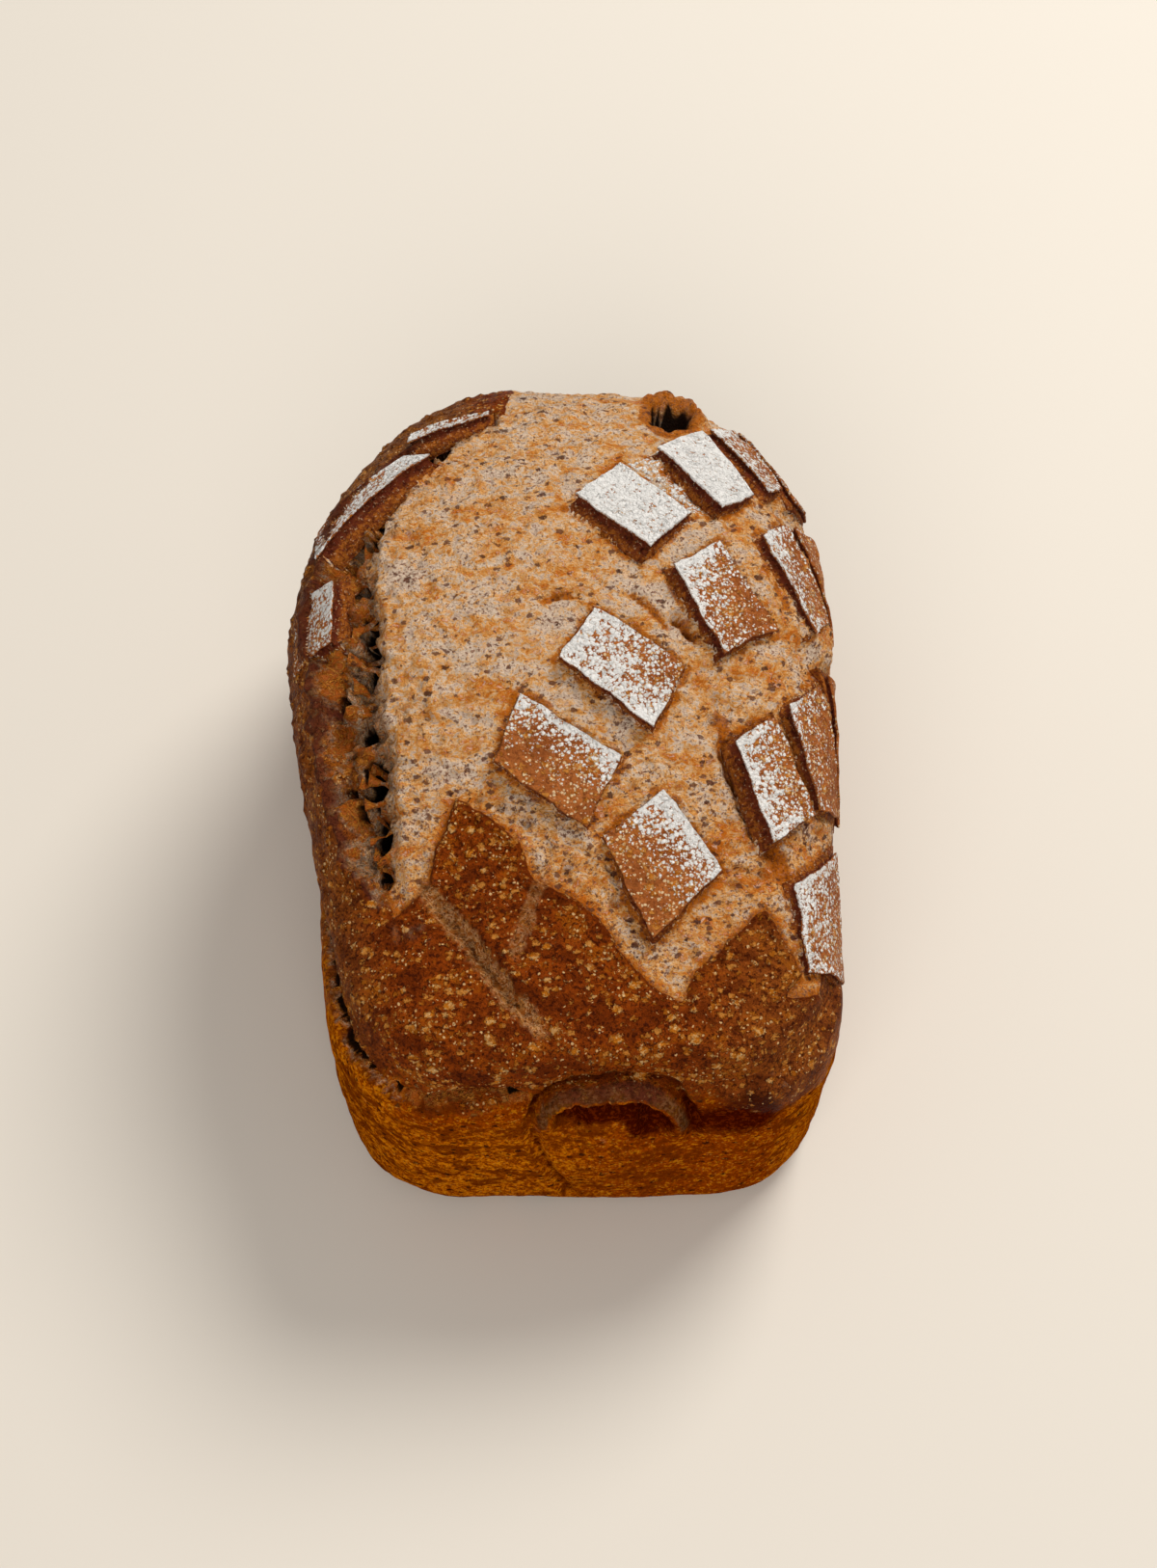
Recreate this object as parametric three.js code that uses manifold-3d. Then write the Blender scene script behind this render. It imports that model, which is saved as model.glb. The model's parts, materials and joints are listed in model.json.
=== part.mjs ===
// A wholemeal sourdough loaf, baked in a tin and scored in a lattice, as one solid.
//
// The tin gives it upright, slightly tapered walls with round corners, and a flat foot. Above the tin's
// rim the dough has risen to a dome. The oven burst the scored crust apart: raised tiles of the old crust
// stand on the pale skin that swelled up between them, and along the left side the crust has torn away
// from the dome and stands up as an ear over a deep crack. Each end wall shows the coil of the rolled dough.
//
// Millimetres. +Z is up and +Y runs along the loaf to its high end. The shapes are worked out round the
// tin's own axis, and the finished loaf then moves so that the origin is under the middle of the whole loaf.

import * as THREE from 'three';
import { mergeVertices } from 'three/addons/utils/BufferGeometryUtils.js';
import Module from 'manifold-3d';

// ---------- driving dimensions ----------

const HALF_WIDTH = 59; // at the tin's rim
const HALF_LENGTH = 94;
const TAPER = 2.5; // how much narrower the foot is than the rim, on each side
const OVERHANG = 2.5; // how far the crust spread over the rim
const RIM_Z = 74; // depth of the tin
const CROWN_NEAR = 75; // height of the dome at the near end
const CROWN_FAR = 103; // and where it is highest
const CROWN_SIDE_DROP = 9; // from the middle to the sides
const CROWN_END_DROP = 10; // from the highest point to the far end
const SHOULDER_R = 19; // between wall and dome
const SHOULDER_R_MORE = 11; // added to it at the far end
const CORNER_R = 28; // of the tin, seen from above
const CORNER_R_MORE = 20; // added to it over the rim at the far end
const CORNER_R_RIGHT = 5; // and more on the right
const FOOT_R = 8; // between wall and foot
const LEFT_BULGE = 8; // how far the burst pushed the left side out
const BULGE_Y = 12;
const BULGE_SPREAD = 50;
const HEART_Z = 50; // the skin is found along straight lines from this height on the axis
const TIN_AXIS = [3.75, -0.12]; // where the tin's axis stands, seen from the middle of the burst loaf

// The tear along the left side, as [x, y] from its near end to its far end.
const CRACK = [
  [-42, -55], [-44.5, -40], [-46, -22], [-47.5, -4], [-49, 14],
  [-48.5, 28], [-44, 41], [-36, 53], [-26, 63], [-13, 71],
];
const CRACK_DEPTH = 13;
const CRACK_DOME_SIDE = 4.5; // from the deepest line to the dome's edge
// From the deepest line to the ear's lip, as [share of the crack's length, mm].
const EAR_REACH = [[0, 1.5], [0.11, 6], [0.22, 8.5], [0.33, 10.5], [0.5, 10.5], [0.66, 8], [0.8, 6], [1, 3]];
const EAR_RISE = 2.5; // of the lip over the skin
const EAR_BACK = 6; // width of the ear's outer slope

// The old crust that stayed in one piece over the near end and down the left side. Its edge against the pale
// skin runs from the crack's near end to the right wall.
const CRUST_EDGE = [
  [-42, -55], [-34, -49], [-33, -43], [-28, -30], [-19, -36], [-14, -41], [-11, -49],
  [-7, -51], [-1, -54], [4, -59], [8, -65], [14, -72], [21, -76], [24, -69],
  [40, -54], [47, -68], [43, -74], [52, -70], [62, -66], [80, -66],
];
const CRUST_RISE = 1.7;

// Two cuts that opened without lifting a tile, as [x, y].
const SLASH = {
  line: [[-35, -49], [-28, -58], [-21, -68], [-16, -75], [-10, -82]],
  depth: 3.6,
  halfWidth: 4,
};
const RIGHT_TEAR = {
  line: [[31, -11], [33, -22], [38, -34], [43, -43], [47, -49]],
  depth: 3.5,
  halfWidth: 4.5,
};

// A cavity that tore open between the dome and the far right crust.
const CAVITY = { x: 24, y: 73, halfWidth: 5.5, halfLength: 8, depth: 12, lip: 2.5 };

// Where the burst skin of the right side lies lower between the tiles, as [y, depth, half width].
const SIDE_HOLLOWS = [[47, 1.6, 6], [5, 3, 8], [-37, 0.8, 6]];

// The tear under the top crust at the tin's rim, round the near left corner, as [x, y, z].
const RIM_TEAR = {
  line: [
    [-60, -36, 62], [-59, -49, 61], [-58, -65, 58], [-55, -77, 56], [-48, -86, 56], [-39, -92, 62],
    [-29, -94, 66], [-19, -95, 67], [-11, -95, 61],
  ],
  depth: 5,
  halfWidth: 4.5,
};
const RIM_CREASE = { z: 64, depth: 1.4, halfHeight: 5 }; // the mark of the rim, all round

// The coil of rolled dough in each end wall, as [x, z]: an arch with a lip under it, and the seam that runs
// from its left foot down to the loaf's foot.
const COIL_ARCH = [
  [-12, 46], [-11.5, 56], [-9, 62], [-4, 65.5], [5.5, 66.5],
  [14, 65.5], [19.5, 62], [22.5, 54], [23, 44], [22, 34],
];
const COIL_SEAM = [[-12, 47], [-11, 38], [-8, 24], [-3, 6]];
const COIL_CREASE = 3.6;
const COIL_LIP = 2;
const COIL_HOLLOW = 1.8;
const COIL_BELLY = 2;

// Crust tiles, as the four corners of each, clockwise from above, with the height of the tile's top over the
// skin at each of them: [across, along, height]. "Across" is measured from the loaf's middle, over the dome.
const TILES = {
  white_middle: [[0.2, 39.8, 2.8], [10.8, 52.1, 1.1], [26.6, 35.9, 1.9], [16.7, 25.4, 3.3]],
  white_far: [[20, 56.8, 2.5], [31, 66.7, 1.1], [41.7, 44.5, 2], [33.7, 37.1, 3.3]],
  far_edge: [[33.2, 66.5, 2], [42.4, 75, 0.9], [52.6, 53.8, 1], [46.4, 48.1, 2]],
  far_rim: [[42.5, 73, 1.5], [49, 72, 0.6], [66, 54, 0.6], [56, 51, 1.4]],
  right_upper: [[21.9, 21.3, 2.7], [32.9, 29.2, 0.9], [44.7, 8, 1.9], [32.5, 0.4, 3.3]],
  right_edge_upper: [[42.5, 31.5, 2.6], [50.6, 39.6, 1.3], [66, 20, 0.8], [56, 11, 2]],
  right_rim_upper: [[54, 40, 1.6], [64, 43, 0.8], [79, 20, 0.6], [70, 16, 1.2]],
  middle: [[4.1, 10.8, 1.1], [23.7, -2.8, 2], [15.9, -17.2, 3.3], [-4.3, -0.9, 2.5]],
  centre_left: [[-13, -8.8, 1.1], [8.6, -23.3, 2], [0.9, -38.6, 3.3], [-19, -23.6, 2.7]],
  centre_right: [[18.3, -29.9, 0.9], [30.2, -46.9, 2.3], [14.8, -62.4, 3.3], [4.8, -40.7, 2.3]],
  right_middle: [[34.3, -19.5, 3.7], [43.2, -12.6, 1.4], [52.5, -31.2, 1.7], [41.8, -40.1, 3.6]],
  right_edge_middle: [[46.7, -10, 2.6], [57.2, -1.3, 0.8], [70, -25, 0.6], [54.5, -30.5, 1.8]],
  right_rim_middle: [[61, 3, 1.2], [72, 5, 0.5], [84, -19, 0.4], [74, -25, 1]],
  right_edge_near: [[46.7, -48.4, 2.2], [66, -34.5, 0.6], [71, -61, 0.4], [49.5, -67, 1.8]],
  left_edge_middle: [[-72, 6, 2.6], [-72, 25, 2.8], [-54.6, 23.1, 4.1], [-54.5, 7.7, 4.2]],
  left_edge_far: [[-60.8, 34.7, 4], [-66, 56.5, 2.2], [-44, 60.5, 2.2], [-33.5, 55, 4.3]],
  far_left: [[-37, 64.6, 3.2], [-38, 81, 1.4], [-14.2, 78.6, 1.4], [-15.6, 71.6, 3.2]],
};
const TILE_ROOT = 3; // how deep a tile's solid reaches under the skin
const TILE_STEPS = [4, 3]; // squares along and across a tile

// Where the mesh's corners lie, as [from, to, squares]: across and along the dome.
const DOME_ACROSS = [[-60, -36, 12], [-36, -14, 6], [-14, 26, 12], [26, 60, 9]];
const DOME_ALONG = [[-95, -86, 3], [-86, -26, 18], [-26, 58, 18], [58, 86, 9], [86, 95, 3]];
// And down the walls, as the heights that lines from the heart point at.
const WALL_ROWS = [104, 90, 80, 72.5, 68, 64.5, 60, 51, 40, 24, 7, -2.5];

// ---------- small tools ----------

const { lerp, smoothstep: smooth } = THREE.MathUtils;
const clamp01 = (t) => Math.min(1, Math.max(0, t));
const smoothstep = (from, to, t) => smooth(t, from, to);
const mound = (t, halfWidth) => Math.max(0, 1 - (t / halfWidth) ** 2) ** 2;

// The value at a place of a line through [place, value] pairs.
function interpolated(pairs, place) {
  const i = Math.max(1, pairs.findIndex(([at]) => at >= place));
  const [[from, low], [to, high]] = [pairs[i - 1], pairs[i]];
  return lerp(low, high, clamp01((place - from) / (to - from)));
}

// Halves the distance between a place inside and a place outside until it finds the border.
function border(isInside, reach) {
  let [inside, outside] = [0, reach];
  for (let i = 0; i < 40; i += 1) {
    const middle = (inside + outside) / 2;
    if (isInside(middle)) inside = middle;
    else outside = middle;
  }
  return inside;
}

// A line on the loaf. near() says how far a point is from it, on which side in a flat view (left of the way
// the line runs is positive), and which share of the line lies before that place.
class Line {
  constructor(points, rounded = true) {
    const knots = points.map(([x, y, z = 0]) => new THREE.Vector3(x, y, z));
    this.points = rounded ? new THREE.CatmullRomCurve3(knots).getPoints(80) : knots;
  }

  near(point) {
    const { points } = this;
    let best = { distance: Infinity, side: 1, share: 0 };
    for (let i = 0; i + 1 < points.length; i += 1) {
      const along = points[i + 1].clone().sub(points[i]);
      const off = point.clone().sub(points[i]);
      const t = clamp01(off.dot(along) / along.lengthSq());
      const distance = off.distanceTo(along.clone().multiplyScalar(t));
      if (distance < best.distance) {
        const side = Math.sign(along.x * off.y - along.y * off.x) || 1;
        best = { distance, side, share: (i + t) / (points.length - 1) };
      }
    }
    return best;
  }
}

// Whether a point lies inside a closed outline, both seen from above.
function isWithin(outline, { x, y }) {
  let within = false;
  outline.forEach(([ax, ay], i) => {
    const [bx, by] = outline[(i + 1) % outline.length];
    if (ay > y !== by > y && x < ax + ((bx - ax) * (y - ay)) / (by - ay)) within = !within;
  });
  return within;
}

// ---------- the plain body ----------

// The larger of two signed distances, with a fillet of radius r where they meet.
function filletedCut(a, b, r) {
  return Math.min(-r, Math.max(a, b)) + Math.hypot(Math.max(r + a, 0), Math.max(r + b, 0));
}

function crownHeight(x, y) {
  const along = smoothstep(-95, 30, y);
  return CROWN_NEAR + (CROWN_FAR - CROWN_NEAR) * along
    - CROWN_SIDE_DROP * (x / HALF_WIDTH) ** 2 - CROWN_END_DROP * smoothstep(30, 95, y);
}

// Signed distance to the walls: a rounded rectangle at each height.
function wallDistance(x, y, z) {
  const inset = TAPER * (1 - clamp01(z / RIM_Z)) - OVERHANG * smoothstep(RIM_Z - 4, RIM_Z + 10, z);
  const overRim = smoothstep(0.35 * RIM_Z, RIM_Z + 8, z);
  const bulge = (LEFT_BULGE / 2) * Math.exp(-(((y - BULGE_Y) / BULGE_SPREAD) ** 2)) * overRim;
  const farMore = CORNER_R_MORE + CORNER_R_RIGHT * smoothstep(0, 10, x);
  const r = CORNER_R + farMore * smoothstep(-20, 60, y) * overRim;
  const qx = Math.abs(x + bulge) - (HALF_WIDTH - inset + bulge - r);
  const qy = Math.abs(y) - (HALF_LENGTH - inset - r);
  return Math.hypot(Math.max(qx, 0), Math.max(qy, 0)) + Math.min(Math.max(qx, qy), 0) - r;
}

// Signed distance to the plain body's skin: negative inside.
function skin({ x, y, z }) {
  const shoulder = SHOULDER_R + SHOULDER_R_MORE * smoothstep(-20, 60, y);
  const domed = filletedCut(wallDistance(x, y, z), z - crownHeight(x, y), shoulder);
  return filletedCut(domed, -z, FOOT_R);
}

function outward(point) {
  const step = 0.5;
  const slope = ['x', 'y', 'z'].map((axis) => {
    const [ahead, behind] = [point.clone(), point.clone()];
    ahead[axis] += step;
    behind[axis] -= step;
    return skin(ahead) - skin(behind);
  });
  return new THREE.Vector3(...slope).normalize();
}

// Where the line from a point inside, along a direction, comes out through the skin.
function comesOut(from, direction) {
  const reach = border((t) => skin(from.clone().addScaledVector(direction, t)) < 0, 200);
  return from.clone().addScaledVector(direction, reach);
}

const HEART = new THREE.Vector3(0, 0, HEART_Z);
const UNDERSIDE = 5; // the place of the face towards -Z among the six of a box

// ---------- what baking did to the skin ----------

const crackLine = new Line(CRACK);
const crustLine = [...[...CRACK].reverse(), ...CRUST_EDGE.slice(1)];
const crustEdge = new Line(crustLine, false);
const crustOutline = [[-13, 120], ...crustLine, [80, -120], [-120, -120], [-120, 120]];
const slashLine = new Line(SLASH.line);
const rightTearLine = new Line(RIGHT_TEAR.line);
const rimTearLine = new Line(RIM_TEAR.line);
const archLine = new Line(COIL_ARCH);
const seamLine = new Line(COIL_SEAM);

const fromAbove = ({ x, y }) => new THREE.Vector3(x, y, 0);
const fromTheEnd = ({ x, z }) => new THREE.Vector3(x, z, 0);

// The tear on the left: steep under the dome's edge, then up the ear's inner face to its lip.
function crackRelief(point) {
  const { distance, side, share } = crackLine.near(fromAbove(point));
  const across = side * distance; // positive towards the ear
  const narrowing = 1 - 0.5 * smoothstep(0.55, 0.95, share);
  const open = smoothstep(0, 0.14, share) * narrowing * (1 - smoothstep(0.96, 1, share));
  const depth = CRACK_DEPTH * open * (1 + 0.15 * Math.sin(share * 31));
  const rise = EAR_RISE * (0.5 + 0.5 * open) * smoothstep(0, 0.1, share) * (1 - smoothstep(0.9, 1, share));
  const lip = interpolated(EAR_REACH, share);
  if (across < 0) return -depth * (1 - smoothstep(0, CRACK_DOME_SIDE, -across));
  if (across < lip) return lerp(-depth, rise, smoothstep(1, lip, across));
  return rise * (1 - smoothstep(lip, lip + EAR_BACK, across));
}

function crustRelief(point) {
  const { distance } = crustEdge.near(fromAbove(point));
  const depthIn = isWithin(crustOutline, point) ? distance : -distance;
  return CRUST_RISE * smoothstep(-1.6, 2.4, depthIn);
}

function cutRelief(point, line, { depth, halfWidth }) {
  const { distance, share } = line.near(point);
  return -depth * mound(distance, halfWidth) * Math.sqrt(mound(2 * share - 1, 1.15));
}

function cavityRelief({ x, y }) {
  const reach = Math.hypot((x - CAVITY.x) / CAVITY.halfWidth, (y - CAVITY.y) / CAVITY.halfLength);
  const lip = CAVITY.lip * mound(reach - 1.4, 0.6) * smoothstep(-4, 6, y - CAVITY.y + x - CAVITY.x);
  return lip - CAVITY.depth * mound(reach, 1.2);
}

function rimRelief(point) {
  const wavy = RIM_CREASE.z + 2 * Math.sin(point.x / 13 + 1) + 1.5 * Math.sin(point.y / 21);
  const crease = -RIM_CREASE.depth * mound(point.z - wavy, RIM_CREASE.halfHeight);
  return crease + cutRelief(point, rimTearLine, RIM_TEAR);
}

function sideRelief({ x, y, z }) {
  let height = 0;
  for (const [at, depth, halfWidth] of SIDE_HOLLOWS) height -= depth * mound(y - at, halfWidth);
  return height * smoothstep(40, 54, x) * smoothstep(50, 66, z);
}

// The rolled dough's coil: a crease over an arched lip, a hollow under the lip, a belly, and the seam.
function coilRelief(point) {
  const onWall = fromTheEnd(point);
  const arch = archLine.near(onWall);
  const over = arch.side * arch.distance; // positive outside the arch
  const strength = smoothstep(0, 0.12, arch.share) * (1 - smoothstep(0.75, 1, arch.share));
  const crease = -COIL_CREASE * mound(over - 1.5, 4.4);
  const lip = COIL_LIP * mound(over + 2.8, 4.2);
  const hollow = -COIL_HOLLOW * mound(over + 8.5, 6);
  const belly = COIL_BELLY * mound(Math.hypot(point.x - 6, (point.z - 34) * 0.9), 22);
  const seam = -2 * mound(seamLine.near(onWall).distance, 4);
  return strength * (crease + lip + hollow) + belly + seam;
}

// Broad unevenness of hand-shaped dough.
function lumps({ x, y, z }) {
  const broad = Math.sin(x / 17 + y / 29) * Math.sin(y / 23 - z / 31 + 1.3);
  return 0.5 * broad + 0.35 * Math.sin(x / 11 - y / 13 + z / 19);
}

// How far the baked surface stands out from the plain skin at a point of it.
function relief(point, normal) {
  const onDome = smoothstep(RIM_Z - 12, RIM_Z - 2, point.z);
  const facingEnd = Math.abs(normal.y) / Math.hypot(normal.x, normal.y);
  const onEnd = smoothstep(0.8, 0.97, facingEnd) * (1 - smoothstep(RIM_Z - 5, RIM_Z + 2, point.z));
  const overFoot = smoothstep(0, 10, point.z);
  let height = overFoot * (lumps(point) + rimRelief(point) + sideRelief(point));
  if (onDome > 0) {
    const flat = fromAbove(point);
    const cuts = cutRelief(flat, slashLine, SLASH) + cutRelief(flat, rightTearLine, RIGHT_TEAR);
    height += onDome * (crackRelief(point) + crustRelief(point) + cuts + cavityRelief(point));
  }
  if (onEnd > 0) height += onEnd * overFoot * coilRelief(point);
  return height;
}

function bakedPoint(onSkin) {
  const normal = outward(onSkin);
  return onSkin.clone().addScaledVector(normal, relief(onSkin, normal));
}

// ---------- the body as a mesh ----------

function places(runs) {
  const found = [runs[0][0]];
  for (const [from, to, squares] of runs) {
    for (let i = 1; i <= squares; i += 1) found.push(lerp(from, to, i / squares));
  }
  return found;
}

// A box of squares is drawn out along straight lines from the heart, until it lies on the skin.
function bodyGeometry() {
  const [columns, lengths] = [places(DOME_ACROSS), places(DOME_ALONG)];
  const rows = WALL_ROWS.length;
  const box = new THREE.BoxGeometry(2, 2, 2, columns.length - 1, lengths.length - 1, rows);
  const at = box.getAttribute('position');
  const step = (value, count) => Math.round(((1 + value) / 2) * count);
  for (let i = 0; i < at.count; i += 1) {
    const x = columns[step(at.getX(i), columns.length - 1)];
    const y = lengths[step(at.getY(i), lengths.length - 1)];
    const row = rows - step(at.getZ(i), rows);
    const point = row < rows ? wallOrDomePoint(x, y, WALL_ROWS[row]) : footPoint(x, y);
    at.setXYZ(i, point.x, point.y, point.z);
  }
  return closeFoot(box);
}

function wallOrDomePoint(x, y, height) {
  return bakedPoint(comesOut(HEART, new THREE.Vector3(x, y, height - HEART_Z).normalize()));
}

// The outline of the flat foot: where the rounding under the walls ends.
function footPoint(x, y) {
  const direction = new THREE.Vector3(x, y, 0).normalize();
  const reach = border((t) => wallDistance(direction.x * t, direction.y * t, 0) < -FOOT_R, 150);
  return direction.multiplyScalar(reach);
}

// The box's underside is replaced by one flat polygon over the foot's outline.
function closeFoot(box) {
  const { start, count } = box.groups[UNDERSIDE];
  box.setIndex([...box.index.array].filter((_, i) => i < start || i >= start + count));
  const shell = weld(box);
  const at = shell.getAttribute('position');
  const rim = [...new Set(shell.index.array)].filter((i) => at.getZ(i) === 0);
  rim.sort((a, b) => Math.atan2(at.getY(a), at.getX(a)) - Math.atan2(at.getY(b), at.getX(b)));
  const outline = rim.map((i) => new THREE.Vector2(at.getX(i), at.getY(i)));
  const faces = THREE.ShapeUtils.triangulateShape(outline, []);
  const foot = faces.flatMap(([a, b, c]) => [rim[a], rim[c], rim[b]]);
  shell.setIndex([...shell.index.array, ...foot]);
  return shell;
}

function weld(geometry) {
  geometry.deleteAttribute('normal');
  geometry.deleteAttribute('uv');
  return mergeVertices(geometry, 1e-3);
}

// ---------- crust tiles ----------

// The skin's point that lies "across" millimetres from the loaf's middle, measured over the dome.
function overDome(across, along) {
  const side = Math.sign(across) || 1;
  let point = comesOut(new THREE.Vector3(0, along, HEART_Z), new THREE.Vector3(0, 0, 1));
  for (let left = Math.abs(across); left > 0; left -= 2) {
    const normal = outward(point).setY(0).normalize();
    const sideways = new THREE.Vector3(side * normal.z, 0, -side * normal.x);
    const inside = point.clone().addScaledVector(sideways, Math.min(left, 2)).addScaledVector(normal, -8);
    point = comesOut(inside, normal);
  }
  return point;
}

// A tile of old crust: a curved slab that follows the skin, higher at the edges that the burst lifted.
function tileGeometry(corners) {
  const box = new THREE.BoxGeometry(2, 2, 2, ...TILE_STEPS, 1);
  const at = box.getAttribute('position');
  const [a, b, c, d] = corners.map((corner) => new THREE.Vector3(...corner));
  for (let i = 0; i < at.count; i += 1) {
    const [u, v] = [(at.getX(i) + 1) / 2, (at.getY(i) + 1) / 2];
    const place = d.clone().lerp(c, u).lerp(a.clone().lerp(b, u), v);
    const point = overDome(place.x, place.y);
    point.addScaledVector(outward(point), at.getZ(i) > 0 ? place.z : -TILE_ROOT);
    at.setXYZ(i, point.x, point.y, point.z);
  }
  return weld(box);
}

// ---------- joining ----------

const wasm = await Module();
wasm.setup();

function solidOf(geometry) {
  return new wasm.Manifold(new wasm.Mesh({
    numProp: 3,
    vertProperties: new Float32Array(geometry.getAttribute('position').array),
    triVerts: new Uint32Array(geometry.index.array),
  }));
}

function geometryOf(solid) {
  const { numProp, vertProperties, triVerts } = solid.getMesh();
  const positions = [];
  for (let i = 0; i < vertProperties.length; i += numProp) {
    positions.push(...vertProperties.subarray(i, i + 3));
  }
  const geometry = new THREE.BufferGeometry();
  geometry.setAttribute('position', new THREE.Float32BufferAttribute(positions, 3));
  geometry.setIndex([...triVerts]);
  geometry.computeVertexNormals();
  return geometry;
}

function loafGeometry() {
  let loaf = solidOf(bodyGeometry());
  for (const corners of Object.values(TILES)) loaf = loaf.add(solidOf(tileGeometry(corners)));
  return geometryOf(loaf);
}

const crust = new THREE.MeshStandardMaterial({ color: 0x9a5a2c, roughness: 0.78, metalness: 0 });
const loaf = new THREE.Mesh(loafGeometry(), crust);
loaf.name = 'loaf';
loaf.position.set(...TIN_AXIS, 0);

const part = new THREE.Group();
part.add(loaf);

export default part;
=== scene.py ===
"""A wholemeal sourdough loaf from a tin, with a burst, cross-scored top, on a plain pale floor.

Shapes are worked out in millimetres round the tin's own axis, and every mesh is stored in metres in the
part's frame, whose origin lies under the middle of the whole loaf.
"""

import json
import math

import bmesh
import bpy
import numpy as np
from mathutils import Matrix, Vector
from mathutils.kdtree import KDTree

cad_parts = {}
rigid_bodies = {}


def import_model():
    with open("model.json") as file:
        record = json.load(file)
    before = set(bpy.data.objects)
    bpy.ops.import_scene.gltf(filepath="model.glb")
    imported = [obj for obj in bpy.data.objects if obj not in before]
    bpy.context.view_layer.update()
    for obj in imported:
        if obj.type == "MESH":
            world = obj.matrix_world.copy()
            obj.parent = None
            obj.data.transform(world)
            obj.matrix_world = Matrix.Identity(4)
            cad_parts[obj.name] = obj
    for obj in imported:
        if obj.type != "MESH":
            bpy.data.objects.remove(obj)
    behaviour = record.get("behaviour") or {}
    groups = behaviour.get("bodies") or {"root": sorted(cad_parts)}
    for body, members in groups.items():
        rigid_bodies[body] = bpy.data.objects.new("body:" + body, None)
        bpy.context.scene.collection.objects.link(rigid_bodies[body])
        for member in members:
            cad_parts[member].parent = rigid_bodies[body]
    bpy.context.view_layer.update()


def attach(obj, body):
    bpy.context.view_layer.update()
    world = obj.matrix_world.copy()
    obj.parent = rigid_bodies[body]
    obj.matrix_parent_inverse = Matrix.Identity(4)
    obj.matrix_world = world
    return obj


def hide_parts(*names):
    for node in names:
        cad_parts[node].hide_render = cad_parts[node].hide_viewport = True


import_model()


# ---------- the plain form of the loaf ----------
# Dough that filled a tapered tin with round corners, and rose over its rim to a dome.
# The dome climbs from the near end to the far end, and the burst pushed the left side out.

HALF_WIDTH = 59.0
HALF_LENGTH = 94.0
# How much narrower the foot is than the rim on each side, and how far the dough hangs over the rim.
TAPER = 2.5
OVERHANG = 2.5
RIM_Z = 74.0
CROWN_NEAR = 75.0
CROWN_FAR = 103.0
CROWN_RISE_Y = (-95, 30)
CROWN_SIDE_DROP = 9.0
CROWN_END_DROP = 10.0
CROWN_END_Y = (30, 95)
# The round edges, and by how much they are rounder towards the far end.
SHOULDER_R = 19.0
SHOULDER_R_MORE = 11.0
CORNER_R = 28.0
CORNER_R_MORE = 20.0
CORNER_R_RIGHT = 5.0
ROUNDER_Y = (-20, 60)
FOOT_R = 8.0
LEFT_BULGE = 8.0
BULGE_Y = 12.0
BULGE_SPREAD = 50.0
# The height of the loaf's heart, and the tin's axis in the part's frame.
HEART_Z = 50.0
TIN_AXIS = (3.75, -0.12)


def smoothstep(start, end, value):
    """0 before start, 1 past end, and an even bend between them."""
    share = np.clip((value - start) / (end - start), 0, 1)
    return share * share * (3 - 2 * share)


def mound(value, half_width):
    """1 at 0, falling away softly to 0 at half_width on both sides."""
    return np.maximum(0, 1 - (value / half_width) ** 2) ** 2


def filleted_cut(a, b, radius):
    """The distance to what two shapes share, with the corner between them rounded off."""
    corner = np.hypot(np.maximum(radius + a, 0), np.maximum(radius + b, 0))
    return np.minimum(-radius, np.maximum(a, b)) + corner


def crown_height(x, y):
    rise = (CROWN_FAR - CROWN_NEAR) * smoothstep(*CROWN_RISE_Y, y)
    drop = CROWN_SIDE_DROP * (x / HALF_WIDTH) ** 2 + CROWN_END_DROP * smoothstep(*CROWN_END_Y, y)
    return CROWN_NEAR + rise - drop


def wall_distance(x, y, z):
    """Distance to the walls; negative inside them."""
    inset = TAPER * (1 - np.clip(z / RIM_Z, 0, 1)) - OVERHANG * smoothstep(RIM_Z - 4, RIM_Z + 10, z)
    over_rim = smoothstep(0.35 * RIM_Z, RIM_Z + 8, z)
    bulge = LEFT_BULGE / 2 * np.exp(-(((y - BULGE_Y) / BULGE_SPREAD) ** 2)) * over_rim
    far_more = CORNER_R_MORE + CORNER_R_RIGHT * smoothstep(0, 10, x)
    radius = CORNER_R + far_more * smoothstep(*ROUNDER_Y, y) * over_rim
    across = np.abs(x + bulge) - (HALF_WIDTH - inset + bulge - radius)
    along = np.abs(y) - (HALF_LENGTH - inset - radius)
    beyond = np.hypot(np.maximum(across, 0), np.maximum(along, 0))
    return beyond + np.minimum(np.maximum(across, along), 0) - radius


def skin_distance(points):
    """Distance to the plain skin; negative inside the loaf."""
    x, y, z = points.T
    shoulder = SHOULDER_R + SHOULDER_R_MORE * smoothstep(*ROUNDER_Y, y)
    domed = filleted_cut(wall_distance(x, y, z), z - crown_height(x, y), shoulder)
    return filleted_cut(domed, -z, FOOT_R)


def outward(points):
    """The direction straight out of the loaf at each point."""
    slope = np.empty_like(points)
    for axis in range(3):
        step = np.zeros(3)
        step[axis] = 0.5
        slope[:, axis] = skin_distance(points + step) - skin_distance(points - step)
    return slope / np.linalg.norm(slope, axis=1, keepdims=True)


def settled(points, times=3):
    """Points moved straight onto the skin."""
    for _ in range(times):
        points = points - outward(points) * skin_distance(points)[:, None]
    return points


def comes_out(directions, distance=skin_distance):
    """Where lines from the heart along these directions meet the skin."""
    heart = np.array([0, 0, HEART_Z])
    inside = np.zeros(len(directions))
    outside = np.full(len(directions), 200.0)
    for _ in range(34):
        middle = (inside + outside) / 2
        within = distance(heart + directions * middle[:, None]) < 0
        inside = np.where(within, middle, inside)
        outside = np.where(within, outside, middle)
    return heart + directions * inside[:, None]


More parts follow.
